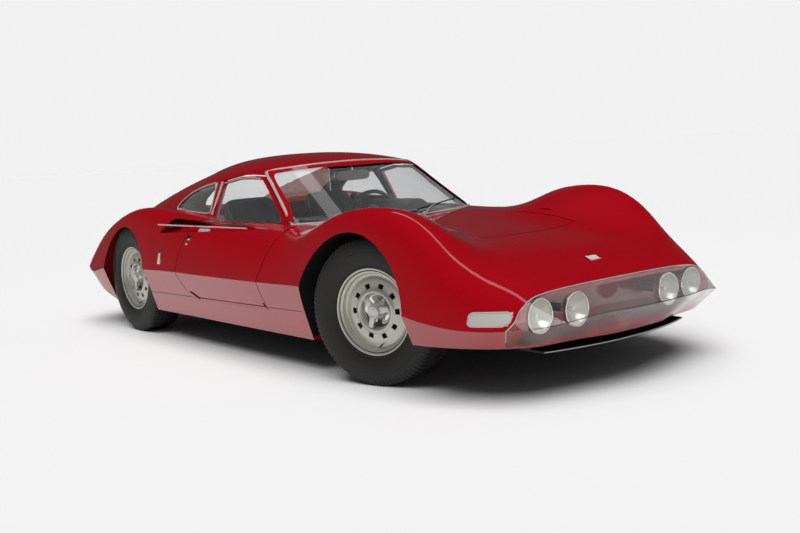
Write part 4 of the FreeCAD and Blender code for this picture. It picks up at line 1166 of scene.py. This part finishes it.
@dataclass
class WindowTrim:
    """Bright mouldings round the glass, wipers and the inside mirror."""

    roof: Skin
    doors: dict[Side, Skin]
    mirror_half: float = 0.112
    mirror_height: float = 0.026

    def build(self) -> None:
        """Make all window trim."""
        self._screen_surround()
        for side in Side:
            self._pillar(side)
            self._quarter(side)
            self._door_line(side)
        self._wipers()
        self._mirror()

    def _screen_surround(self) -> None:
        """Chrome up both pillars, across the header and along the screen's foot."""
        corner = (-0.098, -0.487, 0.915)
        pillar = ((0.262, -0.590, 0.655), (0.185, -0.567, 0.720), (0.087, -0.538, 0.787),
                  (-0.005, -0.515, 0.856), (-0.060, -0.500, 0.890), corner)
        header = (corner, (-0.074, -0.440, 0.924), (-0.044, -0.360, 0.931), (-0.022, -0.240, 0.938),
                  (-0.008, -0.120, 0.941))
        foot = ((0.272, -0.590, 0.660), (0.310, -0.545, 0.661), (0.352, -0.485, 0.661),
                (0.400, -0.410, 0.661), (0.445, -0.300, 0.660), (0.480, -0.160, 0.659))
        piece = Sculptor()
        for side in Side:
            path = pillar if side is Side.right else mirrored(pillar)
            line = smooth_path([self.roof.nearest(p) for p in path], 5)
            outward = Vector((0.45, side.value * 0.75, 0.5)).normalized()
            piece.sweep(line, moulding_section(0.015, 0.0035), outward)
        over = [*header, (-0.003, 0.0, 0.942), *reversed(mirrored(header))]
        line = smooth_path([self.roof.nearest(p) for p in over], 5)
        piece.sweep(line, moulding_section(0.013, 0.003),
                    [Vector((0.5, p.y * 0.4, 0.83)).normalized() for p in line])
        line = smooth_path([*foot, (0.502, 0.0, 0.658), *reversed(mirrored(foot))], 5)
        piece.sweep(line, moulding_section(0.011, 0.003),
                    [Vector((0.5, p.y * 0.3, 0.8)).normalized() for p in line])
        piece.deliver("screen_surround", (BRIGHT_TRIM,), "car_body")

    def _pillar(self, side: Side) -> None:
        """The bright strip between door glass and quarter glass.

        Args:
            side: Which side of the car.
        """
        path = ((-0.462, 0.56, 0.884), (-0.450, 0.60, 0.790), (-0.449, 0.63, 0.700))
        line = smooth_path([self.roof.nearest((x, side.value * y, z)) for x, y, z in path], 5)
        strip(f"pillar_strip_{side.name}", line, moulding_section(0.018, 0.0035),
              Vector((0, side.value * 0.86, 0.5)).normalized())

    def _quarter(self, side: Side) -> None:
        """A moulding round the quarter window.

        Args:
            side: Which side of the car.
        """
        outline = [(-0.4748, 0.706), (-0.51356, 0.873), (-0.6572, 0.853), (-0.81224, 0.818),
                   (-0.90344, 0.770), (-0.93308, 0.742), (-0.92396, 0.722)]
        hits = [self._edge_hit(self.roof, x, z, side) for x, z in divided(outline, 0.03, 2)]
        strip(f"quarter_moulding_{side.name}", hits, moulding_section(0.008, 0.003),
              Vector((0, side.value * 0.84, 0.54)).normalized(), closed=True)

    def _door_line(self, side: Side) -> None:
        """A thin moulding along the top of the door glass, on the door.

        Args:
            side: Which side of the car.
        """
        path = ((-0.100, 0.885), (-0.178, 0.890), (-0.281, 0.890), (-0.430, 0.868))
        line = smooth_path([self._edge_hit(self.doors[side], x, z, side) for x, z in path], 6)
        strip(f"door_glass_line_{side.name}", line, moulding_section(0.006, 0.0025),
              Vector((0, side.value * 0.86, 0.5)).normalized(), f"door_{side.name}_body")

    @staticmethod
    def _edge_hit(skin: Skin, x: float, z: float, side: Side) -> Vector:
        """The outer surface's nearest place to a point on an opening's edge.

        Args:
            skin: The surface.
            x: The point's place along the car.
            z: Its height.
            side: Which side of the car.

        Returns:
            The place.
        """
        guess = Vector((x, side.value * 0.62, z))
        for _ in range(3):
            place = skin.nearest(guess + Vector((0, side.value * 0.05, 0.03)))
            guess = Vector((x, place.y, z))
        return place

    def _wipers(self) -> None:
        """Two wipers parked at the foot of the screen, with pivots on the scuttle."""
        section = [(-0.002, -0.005), (0.002, -0.005), (0.004, 0.0), (0.002, 0.004), (-0.002, 0.004),
                   (-0.004, 0.0)]
        piece = Sculptor()
        for points in (((0.545, 0.030, 0.662), (0.395, 0.230, 0.692), (0.262, 0.500, 0.706)),
                       ((0.405, -0.400, 0.668), (0.470, -0.200, 0.680), (0.512, 0.010, 0.676))):
            pivot, elbow, tip = (Vector(point) for point in points)
            arm = smooth_path([pivot, pivot.lerp(elbow, 0.5) + Vector((0.01, 0, 0.012)), elbow], 5)
            piece.sweep(arm, round_section(0.0035, 8), UP)
            blade = smooth_path([elbow.lerp(tip, -0.75) + Vector((0.004, 0, 0.004)), elbow, tip], 5)
            piece.sweep(blade, section, Vector((0.5, 0, 0.85)), material=1)
            piece.lathe([(-0.012, 0.010), (0.006, 0.010), (0.011, 0.006), (0.012, 0.0)], 20,
                        Matrix.Translation(pivot) @ FACE_UPWARD)
        piece.deliver("wipers", (BRIGHT_TRIM, BLACK_TRIM_AND_GAP_SHADE), "car_body")

    def _mirror(self) -> None:
        """The inside mirror: a rounded shell with a bright rim, on a stalk from the header."""
        outline = []
        for index in range(28):
            turn = math.tau * index / 28
            u = math.copysign(abs(math.cos(turn)) ** 0.35, math.cos(turn)) * self.mirror_half
            v = math.copysign(abs(math.sin(turn)) ** 0.6, math.sin(turn)) * self.mirror_height
            outline.append(Vector((-0.020, u, 0.866 + v)))
        piece = Sculptor()
        piece.plate(outline, AHEAD * 0.019, 0.005, material=1)
        piece.sweep(outline, round_section(0.0022, 8), -AHEAD, closed=True)
        stalk = smooth_path([(-0.006, 0.0, 0.885), (-0.010, 0.0, 0.915), (-0.022, 0.0, 0.945)], 4)
        piece.sweep(stalk, round_section(0.005), LEFT)
        piece.deliver("inside_mirror", (CHROME, GREY_COWL), "car_body", ["mirror"])


@dataclass
class Cabin:
    """Seats, steering wheel and instrument cowl."""

    seat_y: float = 0.275
    wheel_centre: Point = (-0.230, 0.250, 0.585)
    column_lean_deg: float = 20.0
    ring_radius: float = 0.185
    cowl_y: float = 0.25
    cowl_z: float = 0.632
    dial_z: float = 0.655

    def build(self) -> None:
        """Make the cabin's pieces."""
        for side in Side:
            self._seat(side)
        self._steering_wheel()
        self._cowl()

    @staticmethod
    def _pad(piece: Sculptor, centre: Vector, axes: tuple[Vector, Vector, Vector], size: Point,
             channels: int = 0, power: float = 4.0) -> None:
        """A crowned pad with sewn channels on its top side.

        Args:
            piece: Receives the faces.
            centre: The pad's middle.
            axes: Directions along, across and out of the pad.
            size: Half lengths along those directions.
            channels: How many channels run along it.
            power: How square its outline is.
        """
        made = bmesh.ops.create_icosphere(piece.form, subdivisions=5, radius=1.0)
        along, across, out = axes
        for vert in made["verts"]:
            u, v, w = vert.co
            flat = (abs(u) ** power + abs(v) ** power) ** (1 / power) if (u or v) else 0.0
            stretch = math.hypot(u, v) / flat if flat else 1.0
            u, v = u * stretch, v * stretch
            w = math.copysign(abs(w) ** 0.55, w)
            edge = max(0.0, 1.0 - max(abs(u), abs(v)) ** 2)
            w *= 0.72 + 0.28 * edge
            if channels and w > 0:
                lane = (v * 0.5 + 0.5) * channels
                away = abs(lane - round(lane))
                w -= 0.16 * math.exp(-(away / 0.09) ** 2) * min(1.0, edge * 3)
            vert.co = centre + along * (u * size[0]) + across * (v * size[1]) + out * (w * size[2])

    def _seat(self, side: Side) -> None:
        """A bucket seat of crowned pads: cushion, back and bolsters.

        Args:
            side: Which side of the car.
        """
        piece = Sculptor()
        y = side.value * self.seat_y
        level = (AHEAD, LEFT, UP)
        front = Vector((0.590, 0, 0.225)).normalized()
        leaning = (Vector((-0.225, 0, 0.590)).normalized(), LEFT, front)
        middle = Vector((-0.545, y, 0.500))
        self._pad(piece, Vector((-0.262, y, 0.252)), level, (0.215, 0.150, 0.052), 7)
        self._pad(piece, Vector((-0.270, y, 0.216)), level, (0.228, 0.192, 0.026), power=6.0)
        self._pad(piece, middle + front * 0.022, leaning, (0.262, 0.142, 0.045), 7)
        self._pad(piece, middle - front * 0.022, leaning, (0.288, 0.178, 0.026), power=6.0)
        for edge in (-1, 1):
            self._pad(piece, Vector((-0.270, y + edge * 0.167, 0.262)), level, (0.205, 0.032, 0.042))
            bolster = middle + front * 0.030 + LEFT * (edge * 0.158)
            self._pad(piece, bolster, leaning, (0.245, 0.032, 0.042))
        seat = piece.deliver(f"padded_seat_{side.name}", (BLACK_LEATHER,), "car_body",
                             [f"seat_{side.name}"])

    def _steering_wheel(self) -> None:
        """A thin-rimmed wheel with three flat spokes and a plain boss."""
        piece = Sculptor()
        lean = math.radians(self.column_lean_deg)
        centre = Vector(self.wheel_centre)
        axis = Vector((-math.cos(lean), 0, math.sin(lean)))
        upward = Vector((math.sin(lean), 0, math.cos(lean)))
        ring = [centre + (upward * math.cos(turn) + LEFT * math.sin(turn)) * self.ring_radius
                for turn in (math.tau * i / 72 for i in range(72))]
        piece.sweep(ring, round_section(0.0115, 12), axis, closed=True)
        half = [(0.024, -0.016), (0.10, -0.011), (0.178, -0.013)]
        spoke = [*half, *[(u, -v) for u, v in reversed(half)]]
        for turn in (180.0, 300.0, 420.0):
            angle = math.radians(turn)
            out = upward * math.cos(angle) + LEFT * math.sin(angle)
            side = out.cross(axis)
            corners = [centre + out * u + side * v for u, v in spoke]
            piece.plate(corners, axis * 0.003, 0.001, material=1)
        spin = Matrix.Translation(centre) @ LEFT.rotation_difference(axis).to_matrix().to_4x4()
        boss = [(-0.034, 0.026), (0.002, 0.028), (0.010, 0.027), (0.015, 0.021), (0.016, 0.0)]
        piece.lathe(boss, 36, spin, material=lambda span: 1 if span < 2 else 0)
        piece.deliver("steering_rim", (BLACK_LEATHER, SATIN_CHROME), "steering_wheel_body",
                      ["steering_wheel"])

    def _cowl(self) -> None:
        """The pale half-round cowl over the instruments, with two blank dials facing the driver."""
        piece = Sculptor()
        rows = []
        for x, radius in ((-0.1195, 0.0865), (-0.118, 0.0885), (-0.09, 0.0885), (-0.03, 0.087), (0.03, 0.082),
                          (0.07, 0.072)):
            flattened = 0.93 if x < 0 else 0.88
            rows.append([piece.form.verts.new((x, self.cowl_y + radius * math.cos(turn) * 1.04,
                                               self.cowl_z + radius * math.sin(turn) * flattened))
                         for turn in evenly(0.0, math.pi, 25)])
        for first, second in zip(rows, rows[1:]):
            for corners in zip(first, first[1:], second[1:], second):
                piece.form.faces.new(corners)
        for y in (0.213, 0.287):
            spot = Matrix.Translation((-0.1202, y, self.dial_z)) @ FACE_REARWARD
            piece.lathe([(0.0, 0.033), (0.005, 0.033), (0.005, 0.029)], 32, spot, material=1)
            piece.lathe([(0.002, 0.029), (0.002, 0.0)], 32, spot, material=2)
        piece.deliver("instrument_cowl", (GREY_COWL, CHROME, BLACK_TRIM_AND_GAP_SHADE), "car_body")


@dataclass
class Tail:
    """Chrome rings round the tail lamps and bright ends on the exhaust pipes."""

    lamp_x: float = -1.986
    lamp_y: tuple[float, ...] = (-0.490, -0.370, 0.370, 0.490)
    lamp_z: float = 0.445
    pipe_x: float = -1.990
    pipe_y: Pair = (-0.095, 0.095)
    pipe_z: float = 0.236

    def build(self) -> None:
        """Make the tail's pieces."""
        ring = [(-0.020, 0.0465), (0.0, 0.0475), (0.003, 0.0445), (0.0015, 0.041), (0.0, 0.0405)]
        tip = [(-0.09, 0.0265), (-0.01, 0.0285), (0.0, 0.029), (0.0005, 0.0275), (-0.01, 0.026),
               (-0.09, 0.0245)]
        for name, profile, count, x, places, z in (
                ("tail_lamp_rings", ring, 48, self.lamp_x, self.lamp_y, self.lamp_z),
                ("exhaust_tips", tip, 40, self.pipe_x, self.pipe_y, self.pipe_z)):
            piece = Sculptor()
            for y in places:
                piece.lathe(profile, count, Matrix.Translation((x, y, z)) @ FACE_REARWARD)
            piece.deliver(name, (CHROME,), "car_body")


def main() -> None:
    """Build the studio and the car, piece by piece."""
    logging.basicConfig(level=logging.INFO)
    bpy.context.scene.view_settings.view_transform = "Standard"
    nodes = frame["nodes"]
    slots = {piece["node"]: piece["material_slot"] for piece in frame["record"]["subparts"]}
    panels = Skin(nodes, ["front_body", "rear_body", "front_lid", "marker_lamps"])
    flanks = Skin(nodes, ["front_body", "rear_body", "door_left", "door_right"])
    doors = {side: Skin(nodes, [f"door_{side.name}"]) for side in Side}
    for part in (Studio(), Bodywork(nodes, slots), RoadWheel(), Nose(panels, Skin(nodes, ["lamp_cover"])),
                 SideTrim(flanks), WindowTrim(Skin(nodes, ["roof"]), doors), Cabin(), Tail()):
        part.build()


if __name__ == "__main__":
    main()
